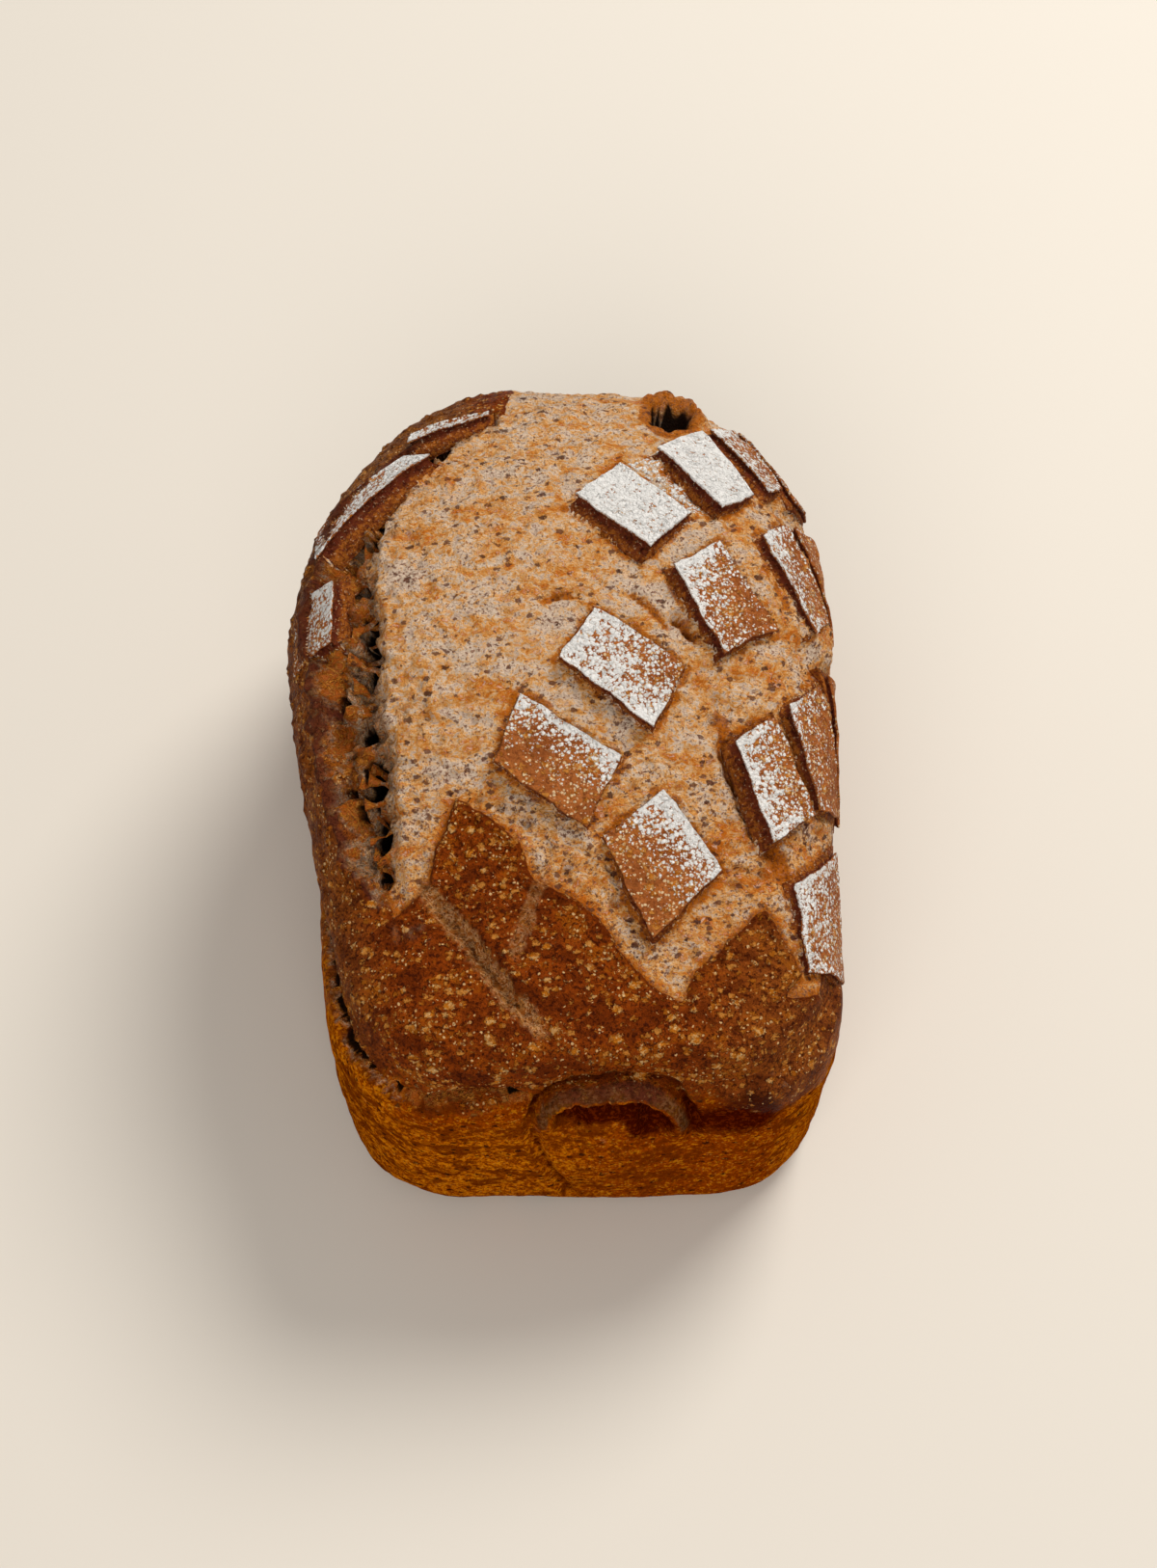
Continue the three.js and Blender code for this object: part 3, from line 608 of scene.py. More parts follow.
# Corners clockwise from above as (across, along, height, flour), and the slopes of the far, right, near and
# left walls. "Across" is measured from the loaf's middle, over the dome.
TILES = {
    "white_middle": (
        [(0.2, 39.8, 2.8, 1.1), (10.8, 52.1, 1.1, 1), (26.6, 35.9, 1.9, 1), (16.7, 25.4, 3.3, 0.95)],
        (0.5, 0.5, 0.3, 2.6),
    ),
    "white_far": (
        [(20, 56.8, 2.5, 1), (31, 66.7, 1.1, 1), (41.7, 44.5, 2, 1), (33.7, 37.1, 3.3, 1.1)],
        (0.5, 0.5, 0.2, 1.5),
    ),
    "far_edge": (
        [(33.2, 66.5, 2, 0.8), (42.4, 75, 0.9, 0.6), (52.6, 53.8, 1, 0.5), (46.4, 48.1, 2, 0.7)],
        (1, 1, 0.5, 2),
    ),
    "far_rim": (
        [(42.5, 73, 1.5, 0.5), (49, 72, 0.6, 0.4), (66, 54, 0.6, 0.3), (56, 51, 1.4, 0.5)],
        (1, 1, 0.5, 1),
    ),
    "right_upper": (
        [(21.9, 21.3, 2.7, 1.05), (32.9, 29.2, 0.9, 0.6), (44.7, 8, 1.9, 0.2), (32.5, 0.4, 3.3, 0.5)],
        (0.5, 0.5, 0.3, 1.6),
    ),
    "right_edge_upper": (
        [(42.5, 31.5, 2.6, 0.9), (50.6, 39.6, 1.3, 0.5), (66, 20, 0.8, 0.3), (56, 11, 2, 0.6)],
        (1, 1, 0.5, 2),
    ),
    "right_rim_upper": (
        [(54, 40, 1.6, 0.4), (64, 43, 0.8, 0.3), (79, 20, 0.6, 0.2), (70, 16, 1.2, 0.3)],
        (1, 1, 0.5, 1),
    ),
    "middle": (
        [(4.1, 10.8, 1.1, 0.95), (23.7, -2.8, 2, 0.35), (15.9, -17.2, 3.3, 0.95), (-4.3, -0.9, 2.5, 0.8)],
        (0.4, 0.5, 0.3, 0.5),
    ),
    "centre_left": (
        [(-13, -8.8, 1.1, 0.75), (8.6, -23.3, 2, 0.9), (0.9, -38.6, 3.3, 0), (-19, -23.6, 2.7, 0.1)],
        (0.4, 0.5, 0.3, 0.6),
    ),
    "centre_right": (
        [(18.3, -29.9, 0.9, 1), (30.2, -46.9, 2.3, 0.8), (14.8, -62.4, 3.3, 0), (4.8, -40.7, 2.3, 0.3)],
        (0.4, 0.6, 0.3, 0.5),
    ),
    "right_middle": (
        [(34.3, -19.5, 3.7, 0.9), (43.2, -12.6, 1.4, 0.5), (52.5, -31.2, 1.7, 0.4), (41.8, -40.1, 3.6, 0.85)],
        (0.8, 0.6, 0.3, 2.4),
    ),
    "right_edge_middle": (
        [(46.7, -10, 2.6, 0.7), (57.2, -1.3, 0.8, 0.4), (70, -25, 0.6, 0.2), (54.5, -30.5, 1.8, 0.4)],
        (0.8, 0.8, 0.4, 0.9),
    ),
    "right_rim_middle": (
        [(61, 3, 1.2, 0.2), (72, 5, 0.5, 0.2), (84, -19, 0.4, 0.1), (74, -25, 1, 0.2)],
        (1, 1, 0.5, 1),
    ),
    "right_edge_near": (
        [(46.7, -48.4, 2.2, 0.85), (66, -34.5, 0.6, 0.5), (71, -61, 0.4, 0.4), (49.5, -67, 1.8, 0.6)],
        (0.8, 0.8, 0.4, 0.9),
    ),
    "left_edge_middle": (
        [(-69.5, 6.5, 1.4, 0.35), (-69.5, 24, 1.8, 0.8), (-55.2, 23.1, 4.1, 0.85), (-55.2, 7.7, 4.2, 0.6)],
        (0.6, 3.6, 0.6, 1),
    ),
    "left_edge_far": (
        [(-61.2, 33, 4, 0.8), (-64, 44.5, 2.8, 0.3), (-39, 57.5, 3, 0.9), (-33.5, 55, 4.3, 0.95)],
        (1, 1, 1.2, 1),
    ),
    "far_left": (
        [(-38.5, 63.5, 3, 0.9), (-38.7, 68, 2.2, 0.8), (-20, 73.5, 1.2, 0.6), (-20, 71, 1.8, 0.8)],
        (0.5, 0.5, 0.7, 1),
    ),
}


def over_dome(across, along):
    """The skin's points that lie this far across from the loaf's middle, measured over the dome."""
    points = np.column_stack([np.zeros(len(across)), along, crown_height(0, along)])
    side = np.where(across < 0, -1.0, 1.0)
    left = np.abs(across)
    while left.max() > 0:
        normals = outward(points) * [1, 0, 1]
        normals /= np.linalg.norm(normals, axis=1, keepdims=True)
        sideways = np.column_stack([side * normals[:, 2], 0 * side, -side * normals[:, 0]])
        points = points + sideways * np.minimum(left, 2)[:, None]
        for _ in range(3):
            points = points - normals * skin_distance(points)[:, None]
        left = np.maximum(left - 2, 0)
    return points


def tile_mesh(name, corners, slopes, seed):
    """One tile, and the points where its wall meets the skin."""
    sheet = bmesh.new()
    bmesh.ops.create_grid(sheet, x_segments=TILE_SQUARES[0], y_segments=TILE_SQUARES[1], size=1)
    for ring in range(len(TILE_PROFILE)):
        edge = [e for e in sheet.edges if e.is_boundary]
        made = bmesh.ops.extrude_edge_only(sheet, edges=edge)["geom"]
        for vert in made:
            if isinstance(vert, bmesh.types.BMVert):
                vert.co.z = -ring - 1
    bmesh.ops.edgeloop_fill(sheet, edges=[e for e in sheet.edges if e.is_boundary])
    mesh = as_mesh(sheet, name)

    place = read(mesh.vertices, "co", 3)
    ring = np.rint(-place[:, 2]).astype(int)
    profile = np.array([(0, 0, 1, 0)] + TILE_PROFILE)[ring]
    far, right, near, left = slopes
    u, v = place[:, 0], place[:, 1]
    a, b, c, d = (np.array(corner) for corner in corners)
    width = (np.linalg.norm((b - a)[:2]) + np.linalg.norm((c - d)[:2])) / 2
    length = (np.linalg.norm((d - a)[:2]) + np.linalg.norm((c - b)[:2])) / 2
    slope_u = np.where(u > 0.999, right, left)
    slope_v = np.where(v > 0.999, far, near)
    out_u = np.where(np.abs(u) > 0.999, np.sign(u) * (profile[:, 0] * slope_u + profile[:, 1]), 0)
    out_v = np.where(np.abs(v) > 0.999, np.sign(v) * (profile[:, 0] * slope_v + profile[:, 1]), 0)
    s = ((u + 1) / 2 + out_u / width)[:, None]
    t = ((v + 1) / 2 + out_v / length)[:, None]
    spread = (1 - t) * ((1 - s) * d + s * c) + t * ((1 - s) * a + s * b)
    flat = spread[:, :2]
    across = spread[:, 0] + 1.0 * noise(pad(flat), 7, seed) + 0.4 * noise(pad(flat), 2, seed + 1)
    along = spread[:, 1] + 1.0 * noise(pad(flat), 7, seed + 2) + 0.4 * noise(pad(flat), 2, seed + 3)
    skin = over_dome(across, along)
    edge = np.maximum(np.abs(u), np.abs(v))
    curl = 0.3 * smoothstep(0.8, 1, edge) - 0.4 * (1 - edge**2)
    height = profile[:, 2] * (spread[:, 2] + curl) + profile[:, 3]
    spot, number = spots(skin, 2.4, 31)
    rough = 0.35 * noise(skin, 5, 32) + 0.25 * noise(skin, 1.7, 33)
    rough += 0.35 * (number > 0.4) * mound(spot, 1.1)
    torn = 0.3 * noise(skin, 1.8, 34) + 0.4 * noise(skin * [1, 1, 0.3], 1.2, 48)
    height += np.where(ring < 2, rough, torn * (ring > 2))
    points = skin + outward(skin) * height[:, None]
    mesh.vertices.foreach_set("co", stored(points).astype(np.float32).ravel())
    flour = spread[:, 3] * np.select([ring == 0, ring == 1], [1, 0.75], 0.1)
    flour += 0.14 * (edge > 0.88) * (ring == 0)
    top_or_wall = np.where(ring < 2, 1.0, 0.5)
    towards_foot = np.clip((ring - 2) / 3, 0, 1)
    give_marks(mesh, {"known": 1, "crust": 1, "flour": flour, "tile": top_or_wall, "foot": towards_foot})
    return mesh, points[ring >= len(TILE_PROFILE) - 1]


joined = bpy.data.collections.new("joined")
tile_feet = []
for seed, (name, (corners, slopes)) in enumerate(TILES.items()):
    mesh, feet = tile_mesh("tile_" + name, corners, slopes, 100 + 5 * seed)
    joined.objects.link(bpy.data.objects.new("tile_" + name, mesh))
    tile_feet.extend(feet)

# The skin round a tile's foot baked darker.
tree = KDTree(len(tile_feet))
for index, point in enumerate(tile_feet):
    tree.insert(point, index)
tree.balance()
to_foot = np.array([tree.find(point)[2] for point in baked])
darker = 1 - smoothstep(0.2, 1.8, to_foot + 1.6 * noise(baked, 3, 49))
body_marks["toast"] = np.maximum(body_marks["toast"], darker)
give_marks(body_mesh, {**body_marks, "known": 1})


# ---------- strands across the crack ----------
# Threads of torn dough that still join the dome to the ear, thick at their ends and thin in the middle.

STRANDS = 30
STRAND_RINGS = 11
# The stretch of the crack that they cross, as shares of its length.
STRANDS_FROM = 0.06
STRANDS_OVER = 0.72
# Where they leave the dome, in millimetres from the crack's line, and how far up the ear's face they reach.
STRAND_ROOT = 3.4
STRAND_TIP = 0.62

rng = np.random.default_rng(5)
for number in range(STRANDS):
    share = STRANDS_FROM + STRANDS_OVER * (number + rng.uniform(-0.9, 0.9)) / STRANDS
    middle = crack_line[int(np.clip(share, 0, 1) * (len(crack_line) - 1))]
    lip = np.interp(share, *zip(*EAR_REACH))
    deep = rng.uniform(1.5, 7.0)
    reach = rng.uniform(0.35, 1.0)
    lean = rng.uniform(-7, 7)
    start = np.array([middle[0] + STRAND_ROOT, middle[1] - lean / 2, -deep - rng.uniform(0, 2)])
    tip_depth = -deep * (1 - 0.7 * reach) - 1
    end = np.array([middle[0] - STRAND_TIP * lip * reach, middle[1] + lean / 2, tip_depth])
    thread = bmesh.new()
    bmesh.ops.create_cone(thread, cap_ends=True, segments=8, radius1=1, radius2=1, depth=2)
    lengthwise = [e for e in thread.edges if abs(e.verts[0].co.z - e.verts[1].co.z) > 1]
    bmesh.ops.subdivide_edges(thread, edges=lengthwise, cuts=STRAND_RINGS)
    mesh = as_mesh(thread, "strand")
    place = read(mesh.vertices, "co", 3)
    t = (place[:, 2] + 1) / 2
    path = start + (end - start) * t[:, None]
    skin = settled(np.column_stack([path[:, 0], path[:, 1], crown_height(path[:, 0], path[:, 1])]), 4)
    centre = skin + outward(skin) * (path[:, 2] - 1.5 * np.sin(math.pi * t))[:, None]
    thickness = rng.uniform(0.25, 0.6) * (1 + 2.0 * np.abs(2 * t - 1) ** 2.5)
    ring = np.column_stack([0 * t, place[:, 0], place[:, 1]]) * thickness[:, None]
    points = centre + ring * [1, 1.6, 0.8]
    points += 1.1 * np.column_stack([noise(points, 2.4, 70 + axis) for axis in range(3)])
    mesh.vertices.foreach_set("co", stored(points).astype(np.float32).ravel())
    give_marks(mesh, {"known": 1, "torn": 1, "toast": 0.3 + 0.6 * t})
    joined.objects.link(bpy.data.objects.new("strand", mesh))


# ---------- one loaf ----------
# Body, tiles and strands are one piece of bread, so they are joined into one closed mesh.
# Only torn edges look sharp.

SHARP_ANGLE = math.radians(62)

join = loaf.modifiers.new("join", "BOOLEAN")
join.operation = "UNION"
join.solver = "MANIFOLD"
join.operand_type = "COLLECTION"
join.collection = joined
bpy.context.scene.collection.children.link(joined)
depsgraph = bpy.context.evaluated_depsgraph_get()
whole = bpy.data.meshes.new_from_object(
    loaf.evaluated_get(depsgraph), preserve_all_data_layers=True, depsgraph=depsgraph
)
loaf.modifiers.clear()
loaf.data = whole
for piece in list(joined.objects):
    bpy.data.objects.remove(piece)
bpy.data.collections.remove(joined)

# Corners that the joining made have no marks yet: they take the mean of their neighbours'.
known = read(whole.attributes["known"].data, "value")
pairs = np.empty(len(whole.edges) * 2, dtype=np.int32)
whole.edges.foreach_get("vertices", pairs)
one, two = pairs.reshape(-1, 2).T
weight = np.bincount(one, known[two], len(known)) + np.bincount(two, known[one], len(known))
for name in MARKS:
    values = read(whole.attributes[name].data, "value")
    given = known * values
    total = np.bincount(one, given[two], len(known)) + np.bincount(two, given[one], len(known))
    values = np.where(known > 0.5, values, total / np.maximum(weight, 1))
    whole.attributes[name].data.foreach_set("value", values.astype(np.float32))
whole.shade_smooth()
whole.set_sharp_from_angle(angle=SHARP_ANGLE)


# ---------- what the surface is made of ----------
# One baked wholemeal dough, browned by place: pale where it burst late, red-brown where the old crust faced
# the oven, orange-brown where it leaned on the tin. White flour lies on the old crust.


def colour(hexadecimal):
    parts = [int(hexadecimal[i : i + 2], 16) / 255 for i in (1, 3, 5)]
    return tuple(p / 12.92 if p <= 0.04045 else ((p + 0.055) / 1.055) ** 2.4 for p in parts) + (1.0,)


def node(tree, kind, inputs, **settings):
    """A new node with its settings. Inputs are values, "#" colours, sockets, or nodes' first outputs."""
    made = tree.nodes.new("ShaderNode" + kind)
    for key, value in settings.items():
        setattr(made, key, value)
    for key, value in inputs.items():
        if isinstance(value, bpy.types.Node):
            value = value.outputs[0]
        if isinstance(value, bpy.types.NodeSocket):
            tree.links.new(value, made.inputs[key])
        else:
            made.inputs[key].default_value = colour(value) if isinstance(value, str) else value
    return made


# Bread baked from wholemeal flour: dry and open, so it scatters light softly and hardly shines.
bread = bpy.data.materials.new("Baked wholemeal sourdough")
bread.use_nodes = True
tree = bread.node_tree
tree.nodes.clear()
mark = {name: node(tree, "Attribute", {}, attribute_name=name).outputs["Fac"] for name in MARKS}
object_place = node(tree, "TexCoord", {}).outputs["Object"]
millimetres = node(tree, "VectorMath", {0: object_place, "Scale": 1000.0}, operation="SCALE")
stretched = node(tree, "VectorMath", {0: millimetres, 1: (0.72, 1.0, 1.0)}, operation="MULTIPLY")

# Noise, scaled by 1 over the real size of its grains in millimetres: meal of two grades, patches of crust
# and crumb, the dough's streaks and broad browning, and the curled threads of torn crumb.
grit = node(tree, "TexNoise", {"Vector": millimetres, "Scale": 1 / 0.7, "Detail": 3.0, "Roughness": 0.65})
fine = node(tree, "TexNoise", {"Vector": millimetres, "Scale": 1 / 1.0, "Detail": 3.0, "Roughness": 0.65})
medium = node(tree, "TexNoise", {"Vector": millimetres, "Scale": 1 / 2.4, "Detail": 4.0, "Roughness": 0.65})
streaky = {"Vector": stretched, "Scale": 1 / 1.5, "Detail": 6.0, "Roughness": 0.74, "Distortion": 0.9}
streak = node(tree, "TexNoise", streaky)
browning = {"Vector": stretched, "Scale": 1 / 7, "Detail": 6.0, "Roughness": 0.66, "Distortion": 0.5}
broad = node(tree, "TexNoise", browning)
curled = {"Vector": millimetres, "Scale": 1 / 2.4, "Detail": 4.0, "Roughness": 0.6, "Distortion": 0.9}
curls = node(tree, "TexNoise", curled)
off_thread = node(tree, "Math", {0: curls, 1: 0.5}, operation="SUBTRACT")
off_thread = node(tree, "Math", {0: off_thread}, operation="ABSOLUTE")
threads = node(tree, "MapRange", {0: off_thread, 1: 0.06, 2: 0.0}, interpolation_type="SMOOTHSTEP")
between = node(tree, "MapRange", {0: off_thread, 1: 0.06, 2: 0.14}, interpolation_type="SMOOTHSTEP")

# Places pushed about by fine noise, so that no spot is round.
warp = node(tree, "TexNoise", {"Vector": millimetres, "Scale": 1 / 0.7, "Detail": 1.0}).outputs["Color"]
bent = node(tree, "VectorMath", {0: warp, 1: (1.3, 1.1, 1.1), 2: stretched}, operation="MULTIPLY_ADD")
ragged = node(tree, "VectorMath", {0: warp, 1: (0.5, 0.5, 0.5), 2: millimetres}, operation="MULTIPLY_ADD")

# Cells with one spot each, in millimetres: the distance to the nearest spot, and that spot's random number.
cells = {}
for name, size, place in (
    ("grain", 0.75, ragged),
    ("bead", 1.7, bent),
    ("bubble", 3.2, bent),
    ("powder", 1.0, ragged),
    ("dust", 0.6, ragged),
):
    cell = node(tree, "TexVoronoi", {"Vector": place, "Scale": 1 / size})
    cells[name] = cell.outputs["Distance"], node(tree, "SeparateColor", {0: cell.outputs["Color"]})


def flecks(cell, radius, share):
    """Spots of all sizes up to this radius, in cell sizes, in that share of the cells."""
    distance, number = cell
    has_spot = node(tree, "Math", {0: number, 1: share}, operation="LESS_THAN")
    own_size = node(tree, "Math", {0: number, 1: share}, operation="DIVIDE")
    spot = node(tree, "Math", {0: own_size, 1: 0.6 * radius, 2: 0.4 * radius}, operation="MULTIPLY_ADD")
    surplus = node(tree, "Math", {0: spot, 1: distance}, operation="SUBTRACT")
    edge = node(tree, "MapRange", {0: surplus, 1: 0.0, 2: 0.3 * radius}, interpolation_type="SMOOTHSTEP")
    return node(tree, "Math", {0: edge, 1: has_spot}, operation="MULTIPLY")


def layered(base, *coats):
    """Colours laid over each other.

    A coat is a mask, the mask's values where the coat begins and where it is full, its strength and its
    colour. A coat without the two values is as strong as its mask. A mask of three is a share of the first
    pattern, with the last one added to it.
    """
    for mask, *limits, strength, coat in coats:
        if isinstance(mask, tuple):
            pattern, share, more = mask
            mask = node(tree, "Math", {0: pattern, 1: share, 2: more}, operation="MULTIPLY_ADD")
        begins, full = limits or (0.0, 1.0)
        edge = "SMOOTHSTEP" if limits else "LINEAR"
        cover = node(tree, "MapRange", {0: mask, 1: begins, 2: full, 4: strength}, interpolation_type=edge)
        base = node(tree, "Mix", {0: cover, 6: base, 7: coat}, data_type="RGBA").outputs[2]
    return base


# Pale skin: grey-beige dough with soft straw and orange patches, paler patches painted as the shine of its
# film, and bran of every size.
more_bran = node(tree, "Math", {0: mark["bran"], 1: 0.2, 2: 0.42}, operation="MULTIPLY_ADD")
bran = flecks(cells["bead"], 0.44, more_bran)
bran_coarse = flecks(cells["bubble"], 0.3, more_bran)
warmth = node(tree, "Math", {0: mark["toast"], 1: 0.12, 2: broad}, operation="MULTIPLY_ADD")
warmth = node(tree, "Math", {0: mark["bran"], 1: 0.05, 2: warmth}, operation="MULTIPLY_ADD")
heat = node(tree, "Math", {0: warmth, 1: 0.8, 2: streak}, operation="MULTIPLY_ADD")
specks = node(tree, "Math", {0: mark["bran"], 1: 0.03, 2: grit}, operation="MULTIPLY_ADD")
specks = node(tree, "Math", {0: broad, 1: -0.4, 2: specks}, operation="MULTIPLY_ADD")
skin = layered(
    "#DBC3AC",
    (heat, 0.85, 0.91, 0.8, "#E2A85E"),
    (heat, 0.91, 0.98, 0.8, "#CC822C"),
    (heat, 0.99, 1.06, 0.85, "#BC5E0C"),
    (streak, 0.46, 0.36, 0.6, "#A88272"),
    # Painted highlight: pale patches stand in for the shine of the skin's thin film.
    ((medium, 0.5, streak), 0.82, 0.92, 0.5, "#EEDCCA"),
    ((mark["toast"], 0.5, medium), 0.7, 0.95, 0.85, layered("#B2600F", (fine, 0.5, 0.62, 0.8, "#73340E"))),
    (specks, 0.36, 0.44, 0.7, "#926046"),
    (specks, 0.43, 0.49, 0.75, "#663E2E"),
    (bran, 0.85, "#6A4030"),
    (bran_coarse, 0.9, layered("#4A2A20", (fine, 0.5, 0.6, 0.6, "#7E4C3A"))),
)

# Old crust: red-brown, with tan and orange blisters whose paler tops are partly a painted highlight, and
# fine pale specks. Tiles are lighter, with more of them.
on_tile = node(tree, "MapRange", {0: mark["tile"], 1: 0.6, 2: 0.9}, interpolation_type="SMOOTHSTEP")
blistering = node(tree, "Math", {0: broad, 1: 2.6, 2: -0.74}, operation="MULTIPLY_ADD")
more_blisters = node(tree, "Math", {0: on_tile, 1: 0.15, 2: blistering}, operation="MULTIPLY_ADD")
speckling = node(tree, "Math", {0: blistering, 1: 0.6, 2: -0.2}, operation="MULTIPLY_ADD")
more_specks = node(tree, "Math", {0: on_tile, 1: 0.25, 2: speckling}, operation="MULTIPLY_ADD")
blister = flecks(cells["bubble"], 0.44, blistering)
blister_fine = flecks(cells["bead"], 0.55, more_blisters)
speck = flecks(cells["grain"], 0.62, more_specks)
crust = layered(
    "#8C3C0A",
    (on_tile, 0.9, "#BA6E38"),
    # Golden on the far left and the left side, and painted light on the near end's right side.
    (mark["golden_and_lit"], 0.7, "#96602A"),
    ((streak, 0.4, broad), 0.74, 0.6, 0.6, layered("#4E1A04", (on_tile, 1, "#84431E"))),
    ((streak, 0.6, broad), 0.82, 0.98, 0.45, "#B0620E"),
    (fine, 0.52, 0.62, 0.85, layered("#3E1204", (on_tile, 1, "#7E421E"))),
    (grit, 0.52, 0.62, 0.6, layered("#3A1204", (on_tile, 1, "#8A4C24"))),
    (mark["crust"], 0.64, 0.57, 0.6, "#642606"),
    # Painted shade: near black where shade is painted in hollows and deep tears.
    ((medium, 0.5, mark["painted_shade"]), 0.55, 0.95, 0.9, "#340A00"),
    # Blisters are partly real tan and orange, and partly a painted highlight on their pale tops.
    (blister, 0.85, layered("#C4741C", (fine, 0.48, 0.56, 1, "#DCA868"))),
    (blister_fine, 0.85, layered("#CC863A", (medium, 0.45, 0.55, 1, "#A85E14"))),
    (speck, 0.9, layered("#C08A4A", (medium, 0.46, 0.54, 1, "#E4BC84"), (on_tile, 0.8, "#F0D8AE"))),
    ((medium, 0.7, mark["lip"]), 0.66, 1.0, 0.85, layered("#5A2A1C", (fine, 0.5, 0.6, 0.8, "#421C12"))),
)

# The opened dough at the bottom of a blade's cut: tan with paler threads and dark pores.
opened = layered(
    "#B4783E",
    (streak, 0.46, 0.54, 0.85, "#9A5014"),
    (threads, 0.6, "#E2B484"),
    (fine, 0.54, 0.62, 0.8, "#5A2C0C"),
)

# Tin side: smooth orange-brown with dark pores, scorched patches, and painted shade in its hollows and
# creases, dusty grey on the coil's edge.
# Dark where broad and streaky noise give scorched patches, and where shade is painted in hollows and creases.
scorch_and_shade = node(tree, "Math", {0: broad, 1: 0.9, 2: mark["painted_shade"]}, operation="MULTIPLY_ADD")
scorch_and_shade = node(tree, "Math", {0: streak, 1: 0.9, 2: scorch_and_shade}, operation="MULTIPLY_ADD")
tin = layered(
    "#BA6404",
    ((mark["toast"], 0.8, broad), 0.5, 1.1, 0.85, "#863200"),
    ((medium, 0.7, fine), 0.88, 0.76, 0.85, "#783000"),
    ((medium, 0.7, fine), 0.9, 1.0, 0.5, "#CE8812"),
    (broad, 0.5, 0.4, 0.6, "#743206"),
    ((medium, 0.6, broad), 0.82, 0.68, 0.7, "#5E2400"),
    (grit, 0.52, 0.6, 0.75, "#5E2200"),
    (flecks(cells["bead"], 0.4, 0.45), 0.9, "#2C1008"),
    (speck, 0.35, "#D09038"),
    (scorch_and_shade, 1.15, 1.75, 0.97, layered("#360600", (fine, 0.5, 0.6, 0.6, "#6A2200"))),
    ((fine, 0.6, mark["lip"]), 0.7, 1.1, 0.75, layered("#6E4E30", (fine, 0.42, 0.54, 0.9, "#321808"))),
)

# Torn crumb: grey-beige threads, orange where the oven reached them, and painted shade deep inside: dark
# between the threads, near black at the bottom.
torn = layered(
    "#BA9272",
    (threads, 0.85, "#E6CDB2"),
    (streak, 0.46, 0.54, 0.75, layered("#BC7024", (threads, 0.9, "#E8B468"))),
    (grit, 0.52, 0.6, 0.6, "#7A5440"),
    # Painted shade: dark between the threads, and near black where the tear is deepest.
    ((mark["painted_shade"], 0.9, between), 0.9, 1.5, 0.9, "#3E281C"),
    ((mark["toast"], 0.6, streak), 0.66, 0.9, 0.9, layered("#A04E0A", (threads, 0.9, "#DE8A24"))),
    (bran, 0.7, "#54342A"),
    ((medium, 0.5, mark["painted_shade"]), 0.65, 1.1, 0.98, "#120804"),
)

# The torn walls under the tiles, dark brown above and lighter where they meet the skin.
wall = layered(
    "#6A2E1C",
    (medium, 0.5, 0.6, 0.8, "#461A12"),
    (fine, 0.5, 0.6, 0.6, "#7C4020"),
    ((mark["foot"], 0.5, streak), 0.86, 1.02, 0.75, layered("#B66A24", (fine, 0.45, 0.6, 1, "#7A3A16"))),
    (grit, 0.6, 0.68, 0.7, "#D0AC86"),
)

# Each finish where its mark says; a tile's top has the mark 1, its wall 0.5.
is_wall = node(tree, "Math", {0: mark["tile"], 1: 0.5, 2: 0.22}, operation="COMPARE")
uneven_edge = node(tree, "Math", {0: fine, 1: 0.05, 2: mark["crust"]}, operation="MULTIPLY_ADD")
is_crust = node(tree, "MapRange", {0: uneven_edge, 1: 0.515, 2: 0.54}, interpolation_type="SMOOTHSTEP")
base = layered(
    skin,
    (is_crust, 1, crust),
    (mark["tin"], 1, tin),
    (mark["cut"], 1, opened),
    (mark["torn"], 1, torn),
    (is_wall, 1, wall),
)

# Flour: white clumps of two sizes, close together where it lay thick, with the crust showing between them.
patchy = node(tree, "Math", {0: medium, 1: 1.3, 2: -1.0}, operation="MULTIPLY_ADD")
thickness = node(tree, "Math", {0: mark["flour"], 1: 1.05, 2: patchy}, operation="MULTIPLY_ADD")
thinner = node(tree, "Math", {0: thickness, 1: 0.9, 2: -0.1}, operation="MULTIPLY_ADD")
powder, powder_number = cells["powder"]
clump_size = node(tree, "Math", {0: powder_number, 1: 0.3, 2: thickness}, operation="MULTIPLY_ADD")
clumped = node(tree, "Math", {0: clump_size, 1: powder}, operation="SUBTRACT")
dust, dust_number = cells["dust"]
dust_size = node(tree, "Math", {0: dust_number, 1: 0.35, 2: thinner}, operation="MULTIPLY_ADD")
dusty = node(tree, "Math", {0: dust_size, 1: dust}, operation="SUBTRACT")
surplus = node(tree, "Math", {0: clumped, 1: dusty}, operation="MAXIMUM")
lies = node(tree, "MapRange", {0: surplus, 1: 0.0, 2: 0.12}, interpolation_type="SMOOTHSTEP")
has_flour = node(tree, "MapRange", {0: mark["flour"], 1: 0.06, 2: 0.2}, interpolation_type="SMOOTHSTEP")
dusting = node(tree, "Math", {0: lies, 1: has_flour}, operation="MULTIPLY")
# Painted shade: each clump is greyer towards its rim, so that it looks round.
base = layered(base, (dusting, 0.96, layered("#D2C2B4", (surplus, 0.04, 0.26, 1, "#FAF9F7"))))

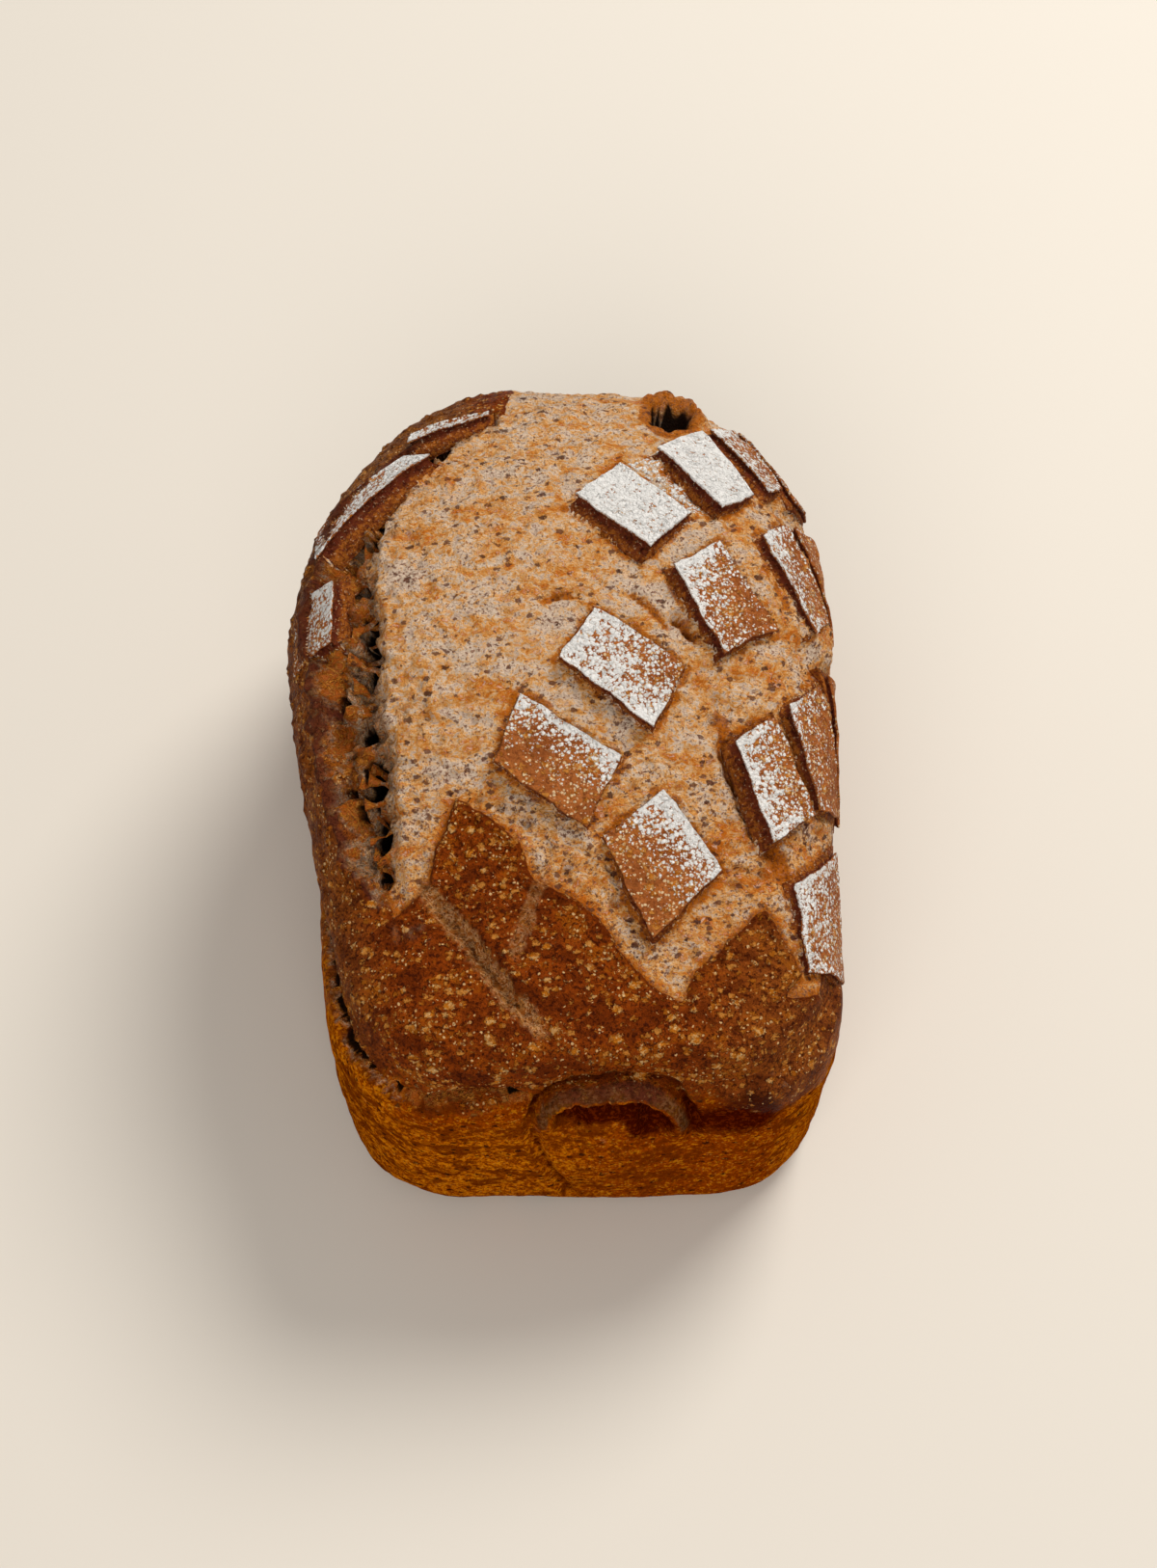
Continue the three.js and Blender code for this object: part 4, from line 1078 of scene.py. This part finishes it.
# Relief too fine for the mesh: blisters, grains and threads stand out, bran lies deep, flour lies on top.
# It is lower where the dough leaned on the smooth tin.
raised = node(tree, "Math", {0: blister, 1: blister_fine}, operation="MAXIMUM")
fibres = node(tree, "Math", {0: threads, 1: mark["torn"]}, operation="MULTIPLY")
sunk = node(tree, "Math", {0: bran, 1: bran_coarse}, operation="MAXIMUM")
thick_flour = node(tree, "Math", {0: surplus, 1: dusting}, operation="MULTIPLY")
relief = node(tree, "Math", {0: raised, 1: is_crust}, operation="MULTIPLY")
for pattern, share in (
    (fine, 1.4),
    (grit, 0.8),
    (streak, 1.0),
    (fibres, 1.2),
    (sunk, -0.4),
    (thick_flour, 0.9),
):
    relief = node(tree, "Math", {0: pattern, 1: share, 2: relief}, operation="MULTIPLY_ADD")
calm = node(tree, "MapRange", {0: mark["tin"], 3: 1.0, 4: 0.6})
bump = node(tree, "Bump", {"Height": relief, "Strength": calm, "Distance": 0.00105})

# Bread has next to no shine, and none where it leaned on the tin. The old crust is a little smoother than
# the crumb, and flour is quite dull.
gloss = node(tree, "MapRange", {0: is_crust, 3: 0.55, 4: 0.42})
gloss = node(tree, "Mix", {0: dusting, 2: gloss, 3: 0.95}, data_type="FLOAT")
sheen = node(tree, "MapRange", {0: mark["tin"], 3: 0.03, 4: 0.0})
surface = node(
    tree,
    "BsdfPrincipled",
    {"Base Color": base, "Roughness": gloss, "Normal": bump, "IOR": 1.4, "Specular IOR Level": sheen},
)
node(tree, "OutputMaterial", {"Surface": surface})
whole.materials.clear()
whole.materials.append(bread)

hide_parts("loaf")
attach(loaf, "root")


# ---------- floor, light and camera ----------
# A plain pale floor, a soft window light from the far right, and a pale room all round.
# The camera looks down steeply from the near end, as at bread on a table. All in metres.

FLOOR_HALF_SIZE = 3
ROOM_BRIGHTNESS = 0.4

floor_shape = bmesh.new()
bmesh.ops.create_grid(floor_shape, x_segments=1, y_segments=1, size=FLOOR_HALF_SIZE)
floor = bpy.data.objects.new("floor", as_mesh(floor_shape, "floor"))
bpy.context.scene.collection.objects.link(floor)
# Plaster, trowelled flat and left bare, so it shows no shine.
plaster = bpy.data.materials.new("Pale matt plaster")
plaster.use_nodes = True
matt = plaster.node_tree.nodes["Principled BSDF"]
matt.inputs["Base Color"].default_value = colour("#CFC9C0")
matt.inputs["Roughness"].default_value = 0.9
floor.data.materials.append(plaster)


def soft_light(name, position, size, power, tint):
    """A round soft light of this width and power in watts, turned to the loaf."""
    light = bpy.data.lights.new(name, "AREA")
    light.shape = "DISK"
    light.size = size
    light.energy = power
    light.color = colour(tint)[:3]
    lamp = bpy.data.objects.new(name, light)
    lamp.location = position
    lamp.rotation_euler = (Vector((0, 0, 0.05)) - Vector(position)).to_track_quat("-Z", "Y").to_euler()
    bpy.context.scene.collection.objects.link(lamp)


soft_light("window", (0.7, 0.8, 1.25), 0.8, 25.5, "#FFFBF4")
soft_light("room", (-0.2, -1.4, 1.15), 1.4, 18, "#FFF8F0")
world = bpy.data.worlds.new("pale room")
world.use_nodes = True
world.node_tree.nodes["Background"].inputs["Color"].default_value = colour("#F6F4F1")
world.node_tree.nodes["Background"].inputs["Strength"].default_value = ROOM_BRIGHTNESS
bpy.context.scene.world = world
bpy.context.scene.view_settings.view_transform = "Standard"

AIM = Vector((TIN_AXIS[0] / 1000, (TIN_AXIS[1] - 1) / 1000, 0.045))
ELEVATION = math.radians(58.5)
TURN = math.radians(-1.2)
DISTANCE = 0.65
SENSOR_HEIGHT_MM = 36
LENS_MM = 61.8

camera_data = bpy.data.cameras.new("camera")
camera_data.sensor_fit = "VERTICAL"
camera_data.sensor_height = SENSOR_HEIGHT_MM
camera_data.lens = LENS_MM
camera_data.clip_start = 0.01
camera = bpy.data.objects.new("camera", camera_data)
level = math.cos(ELEVATION)
back = Vector((math.sin(TURN) * level, -math.cos(TURN) * level, math.sin(ELEVATION)))
camera.location = AIM + DISTANCE * back
camera.rotation_euler = back.to_track_quat("Z", "Y").to_euler()
bpy.context.scene.collection.objects.link(camera)
bpy.context.scene.camera = camera
